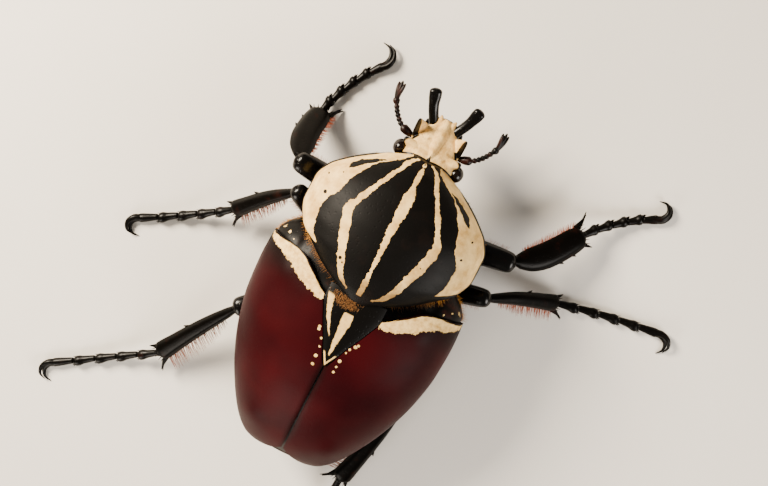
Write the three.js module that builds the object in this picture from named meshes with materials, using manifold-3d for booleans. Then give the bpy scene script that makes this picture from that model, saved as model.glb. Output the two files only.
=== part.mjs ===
// A male goliath beetle, Goliathus goliatus, standing as a life-size still model.
// Millimetres, +Z up. The floor is z = 0, the head points to -Y and the beetle's left side is +X.
// y = 0 is the line of the shoulders, where the wing cases are widest.
import * as THREE from 'three';
import { LoftGeometry } from 'three/addons/geometries/LoftGeometry.js';
import { mergeVertices } from 'three/addons/utils/BufferGeometryUtils.js';
import Module from 'manifold-3d';

const wasm = await Module();
wasm.setup();

// Gap kept between two plates, and the larger play round a moving joint.
const GAP = 0.3;
const SEAM = GAP / 2;

// Wing cases, given as [y, size] from the shoulders to the tip.
const CASE_THICKNESS = 0.8;
const CASE_HALF_WIDTH = [
  [-4, 20.5], [2, 22.6], [9, 23.1], [16, 22.9], [24, 21.7], [32, 19.3], [40, 15.8], [46, 12.2], [49.5, 9.0],
];
const CASE_TOP = [
  [-4, 28.5], [2, 30.4], [9, 31.6], [18, 31.7], [27, 30.3], [35, 27.4], [42, 23.4], [47, 18.6], [49.5, 14.6],
];
const CASE_EDGE = [[-4, 19.0], [9, 17.4], [24, 15.2], [40, 12.4], [49.5, 11.0]];
const CASE_END = 48.7;
const CASE_TIP_HALF_WIDTH = 10.5;

// Scutellum, the triangle between the wing cases.
const SCUTELLUM_FRONT = 4.5;
const SCUTELLUM_TIP = 20.3;
const SCUTELLUM_HALF_WIDTH = 6.6;

// Prothorax: the striped shield and the segment below it.
const SHIELD_FRONT = -26.4;
const SHIELD_REAR = 4.6;
const SHIELD_HALF_WIDTH = [
  [-26.4, 3.6], [-25.4, 6.0], [-24, 8.9], [-22.3, 11.8], [-19.4, 15.6], [-16.6, 18.4], [-13, 20],
  [-8, 20], [-4, 18.3], [-1.4, 14.9], [1.2, 10.8], [3.2, 6.6], [4.6, 2.6],
];
const SHIELD_TOP = [
  [-26.4, 24.2], [-24, 26.7], [-18, 30.6], [-10, 33.2], [-3, 33.6], [2, 32.8], [4.6, 31.9],
];
const SHIELD_EDGE = [
  [-26.4, 20.8], [-22, 20.3], [-13, 19.6], [-6, 20.6], [-2, 23.0], [1.2, 26.6], [4.6, 30.5],
];
const SHIELD_UNDER = [
  [-26.4, 16.6], [-22, 13.2], [-14, 10.6], [-7, 11.2], [-3, 16.0], [0, 23.6], [4.6, 30.1],
];

// Middle thorax and the abdomen that the wing cases cover.
const THORAX_HALF_WIDTH = [
  [-6, 11], [-3.6, 17.6], [-1, 21], [1.4, 22.3], [4, 21.4], [8, 21.5], [11.7, 21.4],
];
const THORAX_TOP = [[-6, 20], [-3, 24.4], [0, 26.4], [2, 27.3], [6, 29.6], [11.7, 30.1]];
const THORAX_EDGE = [[-6, 17], [0, 17.6], [11.7, 16.2]];
const THORAX_UNDER = [[-6, 10.6], [-2, 7.6], [4, 6.2], [11.7, 5.9]];
const ABDOMEN_FRONT = 12;
const ABDOMEN_END = 47.6;
const ABDOMEN_UNDER = [[12, 6.2], [24, 6.4], [34, 7.2], [42, 8.6], [47.6, 10.2]];
const STERNITES = 6;
const STERNITE_STEP = 0.45;

// Head, its outgrowths and its feelers.
const HEAD_REAR = -24.4;
const HEAD_FRONT = -35.4;
const EYE_PLACE = [6.6, -26.4, 18.0];
const EYE_SIZE = [1.6, 1.8, 2.0];
const HORN_ROOT = [2.3, -33.5, 15.9];
const HORN_LENGTH = 8.3;
const HORN_SPREAD = 28;
const HORN_RISE = 12;
const FEELER_ROOT = [5.3, -29.3, 16.3];

// Legs. Each pair shares its lengths, and each leg has its own stance.
const CLAW_LENGTH = 6.6;
const KNEE_RADIUS = 1.5;
const ANKLE_RADIUS = 0.9;
const LEG_PAIRS = {
  front: {
    hip: [9.2, -10.4, 9.6], coxa: [4.6, 3.4, 3.6], femur: 17.4, femurWidth: 5.6, tibia: 18.4, tarsus: 17.2,
    tibiaWidth: 5.8, bow: 1.3, spurSide: 1, shin: [0.6, 0.94, 1.02, 1.0, 0.86, 0.62],
  },
  middle: {
    hip: [8.2, 1.6, 7.6], coxa: [4.4, 3.6, 3.2], femur: 18.8, femurWidth: 5.0, tibia: 20.6, tarsus: 24,
    tibiaWidth: 4.0, bow: 0.5, spurSide: -1, shin: [0.54, 0.7, 0.82, 0.92, 1.0, 0.8],
  },
  hind: {
    hip: [8.6, 13.4, 7.4], coxa: [6.4, 3.4, 2.8], femur: 18.2, femurWidth: 5.4, tibia: 26, tarsus: 27.5,
    tibiaWidth: 4.6, bow: 0.3, spurSide: -1, shin: [0.5, 0.64, 0.76, 0.9, 1.0, 0.8],
  },
};
// Each leg's heading and rise in degrees. A heading of 0 is straight ahead and 90 straight out to the leg's
// own side. A foot goes from the first heading to the second, and its claws hook on by the last angle.
const STANCES = [
  { pair: 'front', side: 'left', femur: [78, 27], tibia: [12, -57], tarsus: [-16, -40], claw: 110 },
  { pair: 'front', side: 'right', femur: [79, 8], tibia: [46, -22], tarsus: [44, 62], claw: -150 },
  { pair: 'middle', side: 'left', femur: [57, 29], tibia: [136, -31], tarsus: [128, 120], claw: 140 },
  { pair: 'middle', side: 'right', femur: [70, 20], tibia: [76, -36], tarsus: [76, 84], claw: 120 },
  { pair: 'hind', side: 'left', femur: [125, 14], tibia: [149, -17], tarsus: [126, 124], claw: 120 },
  { pair: 'hind', side: 'right', femur: [140, 2], tibia: [191, -8.5], tarsus: [178, 160], claw: 110 },
];
const SEGMENTS = 5;

const BLACK = { color: 0x0b0908, roughness: 0.25, metalness: 0 };
const WHITE = { color: 0xe9d9ac, roughness: 0.7, metalness: 0 };
const MAROON = { color: 0x4a0d0c, roughness: 0.35, metalness: 0 };
const radians = THREE.MathUtils.degToRad;

// A smooth curve through [position, value] pairs that never swings past them.
function profile(pairs) {
  const slope = (i) => {
    if (i === 0 || i === pairs.length - 1) return null;
    const before = (pairs[i][1] - pairs[i - 1][1]) / (pairs[i][0] - pairs[i - 1][0]);
    const after = (pairs[i + 1][1] - pairs[i][1]) / (pairs[i + 1][0] - pairs[i][0]);
    return before * after <= 0 ? 0 : (2 * before * after) / (before + after);
  };
  return (x) => {
    const last = pairs.length - 2;
    let i = 0;
    while (i < last && x > pairs[i + 1][0]) i += 1;
    const [[x0, v0], [x1, v1]] = [pairs[i], pairs[i + 1]];
    const width = x1 - x0;
    const t = THREE.MathUtils.clamp((x - x0) / width, 0, 1);
    const chord = (v1 - v0) / width;
    const m0 = (slope(i) ?? chord) * width;
    const m1 = (slope(i + 1) ?? chord) * width;
    const s = 1 - t;
    return v0 * s * s * (1 + 2 * t) + m0 * t * s * s + v1 * t * t * (3 - 2 * t) - m1 * t * t * s;
  };
}

// Evenly spread numbers from a to b.
function steps(a, b, count) {
  return Array.from({ length: count + 1 }, (_, i) => a + ((b - a) * i) / count);
}

// A closed three.js geometry as a solid, with its faces turned outwards.
function solid(geometry) {
  const bare = new THREE.BufferGeometry().copy(geometry);
  bare.deleteAttribute('normal');
  bare.deleteAttribute('uv');
  const merged = mergeVertices(bare, 1e-4);
  const build = (triVerts) => new wasm.Manifold(new wasm.Mesh({
    numProp: 3,
    vertProperties: new Float32Array(merged.attributes.position.array),
    triVerts,
  }));
  const made = build(new Uint32Array(merged.index.array));
  return made.volume() > 0 ? made : build(new Uint32Array(merged.index.array).reverse());
}

// Joins solids and keeps the largest closed surface.
function fuse(solids) {
  const bodies = solids.reduce((a, b) => a.add(b)).decompose();
  return bodies.sort((a, b) => b.volume() - a.volume())[0];
}

// Cuts the tools from a solid and keeps the largest piece.
function cut(body, ...tools) {
  const left = tools.reduce((a, b) => a.subtract(b), body).decompose();
  return left.sort((a, b) => b.volume() - a.volume())[0];
}

// A named mesh from a solid, with its own material.
function piece(name, body, finish) {
  const mesh = body.getMesh();
  const geometry = new THREE.BufferGeometry();
  geometry.setAttribute('position', new THREE.BufferAttribute(new Float32Array(mesh.vertProperties), 3));
  geometry.setIndex(new THREE.BufferAttribute(new Uint32Array(mesh.triVerts), 1));
  const made = new THREE.Mesh(geometry, new THREE.MeshStandardMaterial(finish));
  made.name = name;
  return made;
}

// A capped solid through rings of points, each turned the same way round the path they follow.
function loft(sections) {
  const sum = (ring) => ring.reduce((total, p) => total.add(p), new THREE.Vector3());
  const centre = (ring) => sum(ring).divideScalar(ring.length);
  const middle = centre(sections[0]);
  const forward = centre(sections[1]).sub(middle);
  const spin = new THREE.Vector3();
  sections[0].forEach((p, i) => {
    const next = sections[0][(i + 1) % sections[0].length];
    spin.add(p.clone().sub(middle).cross(next.clone().sub(middle)));
  });
  const turned = spin.dot(forward) > 0 ? sections : sections.map((ring) => [...ring].reverse());
  return solid(new LoftGeometry(turned, { capStart: true, capEnd: true }));
}

// A ring in the plane y, from one side edge over the back to the other and round the belly.
function bodyRing(y, halfWidth, top, edge, under, sides, backPower = 1, bellyPower = 1) {
  return Array.from({ length: sides }, (_, i) => {
    const angle = (i / sides) * 2 * Math.PI;
    const across = Math.cos(angle);
    const up = Math.sin(angle);
    const height = up >= 0 ? (top - edge) * up ** backPower : (under - edge) * (-up) ** bellyPower;
    return new THREE.Vector3(halfWidth * across, y, edge + height);
  });
}

// A tube of oval sections along a path.
// Each station is [share of the length, half width, half thickness, shift to the side].
function limb(path, stations, sides, up) {
  return loft(stations.map(([t, width, thickness, shift = 0]) => {
    const centre = path.getPointAt(t);
    const along = path.getTangentAt(t);
    const across = new THREE.Vector3().crossVectors(along, up).normalize();
    const rise = new THREE.Vector3().crossVectors(across, along);
    return Array.from({ length: sides }, (_, i) => {
      const angle = ((i + 0.5) / sides) * 2 * Math.PI;
      return centre.clone()
        .addScaledVector(across, width * Math.cos(angle) + shift)
        .addScaledVector(rise, thickness * Math.sin(angle));
    });
  }));
}

// A spine or claw: a tapering tube that ends in a point of the given tip radius.
function spine(points, root, tip, sides = 5) {
  const path = points.length > 2 ? new THREE.CatmullRomCurve3(points) : new THREE.LineCurve3(...points);
  const rings = points.length > 2 ? steps(0, 1, points.length + 1) : [0, 1];
  const up = new THREE.Vector3(0.11, 0.07, 1);
  return limb(path, rings.map((t) => [t, root + (tip - root) * t, root + (tip - root) * t]), sides, up);
}

function ball(centre, radii, across = 12, down = 8) {
  const geometry = new THREE.SphereGeometry(1, across, down);
  geometry.scale(...radii);
  geometry.translate(...centre.toArray());
  return solid(geometry);
}

const knob = (centre, radius) => ball(centre, [radius, radius, radius], 8, 5);

// A solid that stands on a plan outline, from one height to another.
function prism(outline, from, to) {
  const shape = new THREE.Shape(outline);
  const geometry = new THREE.ExtrudeGeometry(shape, { depth: to - from, bevelEnabled: false });
  geometry.translate(0, 0, from);
  return solid(geometry);
}

const mirrored = (body) => body.mirror([1, 0, 0]);
const vector = (list, sign = 1) => new THREE.Vector3(list[0] * sign, list[1], list[2]);

// A unit vector from a heading and a rise, on the side that sign gives.
function direction(heading, rise, sign) {
  const turn = radians(heading);
  const plan = Math.cos(radians(rise));
  return new THREE.Vector3(sign * Math.sin(turn) * plan, -Math.cos(turn) * plan, Math.sin(radians(rise)));
}

// The dome under which the wing cases lie, grown or shrunk all round.
function dome(grow) {
  const [width, top, edge] = [CASE_HALF_WIDTH, CASE_TOP, CASE_EDGE].map(profile);
  const stations = [-4, 0, 4, 9, 14, 20, 26, 32, 37, 41, 44, 46.5, 48.3, 49.5];
  return loft(stations.map((y) => {
    const place = y > 38 ? y + grow : y;
    return bodyRing(place, width(y) + grow, top(y) + grow, edge(y), edge(y) - 6, 28, 0.92);
  }));
}

// Half of the line that the front edge of the wing cases and the scutellum leave, from the middle outwards.
const CASE_FRONT = [[SCUTELLUM_HALF_WIDTH, 6.2], [11, 3.6], [15, 1.3], [20, 1.3], [26, 2.6]];

// Plan of the left wing case.
function casePlan() {
  const outline = [
    [SEAM, SCUTELLUM_TIP + GAP],
    ...CASE_FRONT.map(([x, y], i) => (i === 0 ? [x + GAP, y] : [x, y])),
    [26, 30],
    [19.0, 36],
    [15.6, 42],
    [CASE_TIP_HALF_WIDTH + 2.2, 46.2],
    [CASE_TIP_HALF_WIDTH - 1, CASE_END - 0.4],
    [6, CASE_END],
    [2.8, CASE_END - 1.2],
    [SEAM, CASE_END - 3.4],
  ];
  return outline.map(([x, y]) => new THREE.Vector2(x, y));
}

function scutellumPlan() {
  const half = [
    [SCUTELLUM_HALF_WIDTH, SCUTELLUM_FRONT],
    [SCUTELLUM_HALF_WIDTH, 6.4],
    [5.4, 9.6],
    [2.6, 15.4],
    [0.5, SCUTELLUM_TIP - 0.3],
  ];
  const right = half.map(([x, y]) => [-x, y]).reverse();
  return [...half, [0, SCUTELLUM_TIP], ...right].map(([x, y]) => new THREE.Vector2(x, y));
}

// A slab that stands across the beetle, from an outline given as [y, z].
function slab(outline, from, to) {
  const shape = new THREE.Shape(outline.map(([y, z]) => new THREE.Vector2(y, z)));
  const geometry = new THREE.ExtrudeGeometry(shape, { depth: to - from, bevelEnabled: false });
  geometry.rotateX(Math.PI / 2);
  geometry.rotateZ(Math.PI / 2);
  geometry.translate(from, 0, 0);
  return solid(geometry);
}

// Everything below the sloping lower edge of the wing cases.
function belowCases() {
  const edge = profile(CASE_EDGE);
  const line = [[-10, edge(-4) + 0.4], [9, edge(9)], [24, edge(24)], [40, edge(40)], [60, edge(49.5) - 0.6]];
  return slab([...line, [60, -5], [-10, -5]], -40, 40);
}

function shield(grow) {
  const [width, top, edge, under] = [SHIELD_HALF_WIDTH, SHIELD_TOP, SHIELD_EDGE, SHIELD_UNDER].map(profile);
  const ys = [SHIELD_FRONT, ...steps(-25.4, -4, 8), -2.4, -0.8, 1.2, 3.2, SHIELD_REAR];
  return loft(ys.map((y, i) => {
    const shifted = i === 0 ? y - grow : i === ys.length - 1 ? y + grow : y;
    return bodyRing(shifted, width(y) + grow, top(y) + grow, edge(y), under(y) - grow, 24, 0.95, 0.9);
  }));
}

function middleThorax() {
  const [width, top, edge, under] = [THORAX_HALF_WIDTH, THORAX_TOP, THORAX_EDGE, THORAX_UNDER].map(profile);
  const ys = [-6, -3.6, -1, 1.4, 4, 8, 11.7];
  return loft(ys.map((y) => bodyRing(y, width(y), top(y), edge(y), under(y), 20, 0.9, 0.9)));
}

// The abdomen, with a step at the rear edge of each belly plate.
function abdomenBody() {
  const inner = CASE_THICKNESS + GAP;
  const [width, top, edge] = [CASE_HALF_WIDTH, CASE_TOP, CASE_EDGE].map(profile);
  const under = profile(ABDOMEN_UNDER);
  const plate = (ABDOMEN_END - ABDOMEN_FRONT) / STERNITES;
  const rings = [];
  for (let i = 0; i < STERNITES; i += 1) {
    const start = ABDOMEN_FRONT + i * plate;
    rings.push([start, STERNITE_STEP], [start + plate - 0.5, 0]);
  }
  rings.push([ABDOMEN_END, STERNITE_STEP + 0.6]);
  return loft(rings.map(([y, inset]) => {
    const lower = under(y) + inset;
    const halfWidth = width(y) - inner - 0.2 - inset * 0.4;
    return bodyRing(y, halfWidth, top(y) - inner, edge(y) - 0.9, lower, 18, 0.92, 0.85);
  }));
}

// Head capsule, widened at the cheeks, with a raised keel and a front plate with two teeth.
function headBody() {
  const rings = [
    [HEAD_REAR, 5.2, 21.9, 18.2, 13.8],
    [-26.2, 6.2, 21.7, 17.8, 13.0],
    [-28.6, 5.6, 20.6, 17.0, 12.6],
    [-30.4, 4.9, 19.5, 16.4, 12.6],
    [-32.2, 4.1, 18.4, 15.8, 12.7],
    [-33.8, 3.2, 17.5, 15.4, 13.0],
    [HEAD_FRONT, 2.2, 16.9, 15.2, 13.6],
  ];
  const capsule = loft(rings.map((ring) => bodyRing(...ring, 14, 0.8, 0.9)));
  const ridge = [
    [-26.2, 0.5, 21.6], [-28.5, 1.1, 21.5], [-31.5, 1.3, 20], [-34.2, 1, 18.3], [-35.8, 0.7, 17.3],
  ];
  const keel = loft(ridge.map(([y, halfWidth, top]) => bodyRing(y, halfWidth, top, 15.6, 15, 8)));
  const parts = [capsule, keel];
  for (const sign of [1, -1]) parts.push(tooth(sign), lobe(sign), cheek(sign));
  return fuse(parts);
}

// A pointed tooth of the front plate.
function tooth(sign) {
  return spine([vector([1.2, -34.2, 16.2], sign), vector([1.7, -36.2, 16.9], sign)], 0.95, 0.25, 6);
}

// The upright three-cornered lobe in front of each feeler. Its broad root stands aslant on the head.
function lobe(sign) {
  const root = vector([4.1, -30.6, 15.8], sign);
  const tip = vector([5.5, -33.9, 21.6], sign);
  const rootLine = vector([-0.465, -0.884, 0], sign);
  const along = tip.clone().sub(root).normalize();
  const face = rootLine.clone().cross(along);
  const stations = [[0, 2.3, 0.8], [0.4, 1.8, 0.65], [0.75, 1.05, 0.5], [1, 0.4, 0.32]];
  return limb(new THREE.LineCurve3(root, tip), stations, 8, face);
}

// The white ridge behind each feeler, above the eye.
function cheek(sign) {
  return spine([vector([3.6, -27.6, 19.0], sign), vector([6.6, -28.8, 19.9], sign)], 1.5, 0.5, 6);
}

// One blunt, slightly flattened horn that widens to a cut tip.
function hornBody(sign) {
  const root = vector(HORN_ROOT, sign);
  const along = direction(HORN_SPREAD, HORN_RISE, sign);
  const bend = direction(HORN_SPREAD - 14, HORN_RISE + 8, sign);
  const path = new THREE.CatmullRomCurve3([
    root.clone().addScaledVector(along, -1.2),
    root.clone().addScaledVector(along, HORN_LENGTH * 0.45),
    root.clone().addScaledVector(along, HORN_LENGTH * 0.6).addScaledVector(bend, HORN_LENGTH * 0.4),
  ]);
  const stations = [
    [0, 1.1, 0.95], [0.6, 1.12, 0.95], [0.85, 1.36, 1.05], [0.96, 1.3, 0.95], [1, 0.9, 0.65],
  ];
  return limb(path, stations, 10, new THREE.Vector3(0, 0, 1));
}

const eyeBody = (sign, grow = 0) => ball(vector(EYE_PLACE, sign), EYE_SIZE.map((r) => r + grow), 10, 7);

// A feeler: club-like first segment, six beads, and a fan of three long leaves.
function feelerBody(sign) {
  const up = new THREE.Vector3(0, 0, 1);
  const points = [FEELER_ROOT, [8.3, -30.4, 17.0], [10.3, -32.2, 16.8], [11.8, -34.6, 16.6]];
  const path = new THREE.CatmullRomCurve3(points.map((p) => vector(p, sign)));
  const stations = [
    [0, 0.5, 0.5], [0.08, 0.65, 0.65], [0.3, 1.0, 0.95], [0.38, 0.65, 0.65], [0.41, 0.46, 0.46],
  ];
  const beads = 6;
  for (let i = 0; i < beads; i += 1) {
    const start = 0.41 + (0.59 * i) / beads;
    stations.push([start + 0.06, 0.62, 0.58], [start + 0.09, 0.48, 0.46]);
  }
  const root = vector(points[3], sign);
  const leafStations = [
    [0, 0.35, 0.4], [0.2, 0.46, 0.65], [0.6, 0.48, 0.8], [0.9, 0.34, 0.5], [1, 0.14, 0.2],
  ];
  const leaves = [-3, 7, 17].map((turn, i) => {
    const along = direction(turn, 8 - 8 * i, sign);
    const tip = root.clone().addScaledVector(along, 4.4 - 0.3 * Math.abs(i - 1));
    return limb(new THREE.LineCurve3(root.clone().addScaledVector(along, -0.4), tip), leafStations, 6, up);
  });
  return fuse([limb(path, stations, 6, up), ball(root, [0.8, 0.8, 0.8], 8, 6), ...leaves]);
}

// Chin plate and the two pairs of short jointed mouth feelers below the head.
function mouthBody() {
  const rings = [[-27, 3.0, 12.6, 10.9], [-30, 3.4, 12.3, 10.5], [-33.2, 2.6, 12.4, 11.2]];
  const chin = loft(rings.map(([y, halfWidth, top, under]) => {
    return bodyRing(y, halfWidth, top, (top + under) / 2, under, 12);
  }));
  const outer = [[2.4, -30.4, 11.6], [3.9, -31.8, 11.0], [3.9, -33.8, 12.0]];
  const inner = [[1.1, -31.6, 11.4], [1.6, -33.4, 10.8], [1.7, -35.0, 11.4]];
  const palps = [1, -1].flatMap((sign) => [
    spine(outer.map((p) => vector(p, sign)), 0.55, 0.3, 6),
    spine(inner.map((p) => vector(p, sign)), 0.5, 0.28, 6),
  ]);
  return fuse([chin, ...palps]);
}

// All the points and directions that one leg is built from.
function stance({ pair, side, femur, tibia, tarsus, claw }) {
  const sign = side === 'left' ? 1 : -1;
  const sizes = LEG_PAIRS[pair];
  const hip = vector(sizes.hip, sign);
  const knee = hip.clone().addScaledVector(direction(...femur, sign), sizes.femur);
  const ankle = knee.clone().addScaledVector(direction(...tibia, sign), sizes.tibia);
  const share = (i) => i / SEGMENTS;
  const points = [ankle];
  const walk = ankle.clone();
  for (let i = 1; i <= SEGMENTS; i += 1) {
    const heading = tarsus[0] + (tarsus[1] - tarsus[0]) * share(i - 0.5);
    walk.addScaledVector(direction(heading, 0, sign), sizes.tarsus / SEGMENTS);
    walk.z = 1.05 + (ankle.z - 1.05) * (1 - share(i)) ** 2.2;
    points.push(walk.clone());
  }
  return { name: `${pair}_${side}`, sign, sizes, hip, knee, ankle, points, heading: tarsus[1], claw };
}

// Coxa, the leg's root in the underside of the body.
const coxaBody = (leg, grow = 0) => ball(leg.hip, leg.sizes.coxa.map((r) => r + grow), 10, 7);

// The direction in which the broad side of a thigh or shin faces.
function legUp(from, to) {
  const along = to.clone().sub(from).normalize();
  return new THREE.Vector3(0, 0, 1).addScaledVector(along, -along.z).normalize();
}

// The directions of a shin: along it, up from it, and across it to the side that carries the spurs.
function shinAxes(leg) {
  const along = leg.ankle.clone().sub(leg.knee).normalize();
  const up = legUp(leg.knee, leg.ankle);
  const across = along.clone().cross(up).normalize().multiplyScalar(leg.sign * leg.sizes.spurSide);
  return { along, up, across };
}

// The shin's bowed shaft with its own outline; grown, it clears the socket in the thigh.
function shaft(leg, grow = 0, reach = 1) {
  const { up, across } = shinAxes(leg);
  const middle = leg.knee.clone().lerp(leg.ankle, 0.45).addScaledVector(across, -leg.sizes.bow);
  const path = new THREE.CatmullRomCurve3([leg.knee, middle, leg.ankle]);
  const w = leg.sizes.tibiaWidth / 2;
  const places = [[0.12, 1.15], [0.3, 1.25], [0.5, 1.35], [0.78, 1.35], [0.95, 1.3], [1.0, 1.0]];
  const body = places.map(([t, thickness], i) => [t, w * leg.sizes.shin[i], thickness]);
  const stations = [[0.02, 0.9, 0.9], ...body].filter(([t]) => t <= reach);
  const grown = stations.map(([t, width, thickness]) => [t, width + grow, thickness + grow]);
  return limb(path, grown, 8, up);
}

// The thigh, which ends in a broad blunt knee with a socket for the shin.
function femurBody(leg, body) {
  const path = new THREE.LineCurve3(leg.hip, leg.knee);
  const w = leg.sizes.femurWidth / 2;
  const stations = [
    [0.02, w * 0.5, 1.3], [0.3, w * 0.95, 1.9], [0.55, w, 2.0], [0.8, w * 0.95, 1.95], [0.96, w * 0.86, 1.8],
    [1.05, w * 0.7, 1.5],
  ];
  const raw = limb(path, stations, 10, legUp(leg.hip, leg.knee));
  return cut(raw, coxaBody(leg, GAP), knob(leg.knee, KNEE_RADIUS + GAP), shaft(leg, GAP, 0.3), ...body);
}

// The shin with two long spurs on its inner side and a tooth on its outer side.
function tibiaBody(leg) {
  const w = leg.sizes.tibiaWidth / 2;
  const { along, up, across } = shinAxes(leg);
  const at = (far, side, rise = 0) => leg.ankle.clone()
    .addScaledVector(along, far)
    .addScaledVector(across, side)
    .addScaledVector(up, rise);
  const spurs = [[0.5, 4.2, -0.4], [0.8, 3.2, 0.4]].map(([reach, length, lean]) => {
    const root = at(-1.6, w * reach - 0.2);
    return spine([root, at(length * 0.55, w * 0.9 + length * 0.5, lean)], 0.6, 0.2);
  });
  const tooth = spine([at(-1.5, -w * 0.5), at(1.1, -w * 1.1)], 0.7, 0.2);
  const spurred = fuse([shaft(leg), knob(leg.knee, KNEE_RADIUS), tooth, ...spurs]);
  const footRoom = spine(leg.points.slice(0, 2), 0.72 + GAP, 0.95 + GAP);
  return cut(spurred, knob(leg.ankle, ANKLE_RADIUS + GAP), footRoom);
}

// Five short foot segments, each flared towards the side on which the claws hook.
function foot(leg) {
  const path = new THREE.CatmullRomCurve3(leg.points);
  const lean = -0.3 * Math.sign(leg.claw * leg.sign);
  const stations = [[0, 0.62, 0.62]];
  for (let i = 0; i < SEGMENTS; i += 1) {
    const [start, end] = [i / SEGMENTS, (i + 1) / SEGMENTS];
    const last = i === SEGMENTS - 1;
    stations.push([start + 0.03, 0.74, 0.7]);
    stations.push([end - 0.05, last ? 0.95 : 1.2, last ? 0.9 : 1.03, last ? 0 : lean]);
    stations.push([Math.min(end - 0.01, 0.99), 0.76, 0.74]);
  }
  return limb(path, stations, 6, new THREE.Vector3(0, 0, 1));
}

// The foot and its pair of hooked claws, with small flats where it stands on the floor.
function tarsusBody(leg) {
  const end = leg.points[SEGMENTS];
  const claws = [-1, 1].map((rank) => {
    const points = [end.clone().addScaledVector(direction(leg.heading, 0, leg.sign), -0.9)];
    for (let i = 0; i < 4; i += 1) {
      const rise = rank > 0 ? 12 - 9 * i : -4 - 2 * i;
      const heading = leg.heading + leg.claw * (i / 3) ** 1.2 - 8 * rank;
      const ahead = direction(heading, rise, leg.sign);
      points.push(points[i].clone().addScaledVector(ahead, CLAW_LENGTH / 4 + 0.2));
    }
    return spine(points, 0.78, 0.16);
  });
  const corners = [[-99, -99], [99, -99], [99, 99], [-99, 99]].map(([x, y]) => new THREE.Vector2(x, y));
  return cut(fuse([foot(leg), knob(leg.ankle, ANKLE_RADIUS), ...claws]), prism(corners, -20, 0));
}

const beetle = new THREE.Group();
const legs = STANCES.map(stance);
const grownCoxae = legs.map((leg) => coxaBody(leg, GAP));

// Wing cases and scutellum are cut from one shell.
const shell = dome(0).subtract(dome(-CASE_THICKNESS)).subtract(belowCases());
const leftCase = cut(shell.intersect(prism(casePlan(), 0, 50)), prism(scutellumPlan(), 0, 50), shield(GAP));
beetle.add(piece('elytron_left', leftCase, MAROON));
beetle.add(piece('elytron_right', mirrored(leftCase), MAROON));
const plate = dome(0.25).subtract(dome(-1.4)).intersect(prism(scutellumPlan(), 26, 50));
const scutellum = cut(plate, shield(GAP));
beetle.add(piece('scutellum', scutellum, BLACK));

// The room that the wing cases and the scutellum need, with a gap all round.
const behindShield = slab([[0.6, 0], [60, 0], [60, 50], [0.6, 50]], -40, 40);
const caseShell = dome(GAP).subtract(dome(-CASE_THICKNESS - GAP));
const caseRoom = caseShell.subtract(belowCases()).intersect(behindShield);
const scutellumRoom = dome(1).subtract(dome(-1.4 - GAP)).intersect(prism(scutellumPlan(), 20, 50));

const grownEyes = [eyeBody(1, GAP), eyeBody(-1, GAP)];
const prothorax = cut(shield(0), ...grownCoxae, headBody().scale([1.02, 1, 1.02]), ...grownEyes);
beetle.add(piece('pronotum', prothorax, WHITE));
const thorax = cut(middleThorax(), shield(GAP), ...grownCoxae, caseRoom, scutellumRoom);
beetle.add(piece('thorax', thorax, BLACK));
const abdomen = cut(abdomenBody(), ...grownCoxae, caseRoom, scutellumRoom);
beetle.add(piece('abdomen', abdomen, BLACK));

const feelers = [1, -1].map((sign) => feelerBody(sign));
const horns = [1, -1].map((sign) => hornBody(sign));
const feelerPits = [1, -1].map((sign) => ball(vector(FEELER_ROOT, sign), [1.3, 1.3, 1.3], 8, 6));
const hornSockets = [1, -1].map((sign) => ball(vector(HORN_ROOT, sign), [1.9, 1.9, 1.7], 10, 8));
beetle.add(piece('head', cut(headBody(), ...grownEyes, ...feelerPits, ...hornSockets, shield(GAP)), WHITE));
['left', 'right'].forEach((side, i) => {
  const sign = i === 0 ? 1 : -1;
  beetle.add(piece(`eye_${side}`, cut(eyeBody(sign), shield(GAP)), BLACK));
  beetle.add(piece(`horn_${side}`, horns[i], BLACK));
  beetle.add(piece(`antenna_${side}`, feelers[i], BLACK));
});
beetle.add(piece('mouthparts', cut(mouthBody(), headBody().translate([0, 0, -GAP])), BLACK));

for (const leg of legs) {
  beetle.add(piece(`coxa_${leg.name}`, coxaBody(leg), BLACK));
  const trunk = [shield(GAP), middleThorax(), abdomenBody()];
  beetle.add(piece(`femur_${leg.name}`, femurBody(leg, trunk), BLACK));
  beetle.add(piece(`tibia_${leg.name}`, tibiaBody(leg), BLACK));
  beetle.add(piece(`tarsus_${leg.name}`, tarsusBody(leg), BLACK));
}

// The origin goes to the floor, under the middle of the beetle's bounding box.
const bounds = new THREE.Box3().setFromObject(beetle);
const middle = bounds.getCenter(new THREE.Vector3());
for (const mesh of beetle.children) {
  mesh.geometry.translate(-middle.x, -middle.y, -bounds.min.z);
}

export default beetle;
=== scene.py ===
"""A male goliath beetle as a life-size still model on a pale studio floor.

Shapes are worked out in millimetres in the beetle's own axes: the head points to -Y, its left side is +X
and y = 0 is the line of the shoulders. PLACE turns them into metres in the frame of the solid model.
"""
import functools
import math
import random

import bmesh
import bpy
from bpy.props import FloatProperty, FloatVectorProperty, IntProperty, PointerProperty
from mathutils import Matrix, Vector, noise


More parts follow.
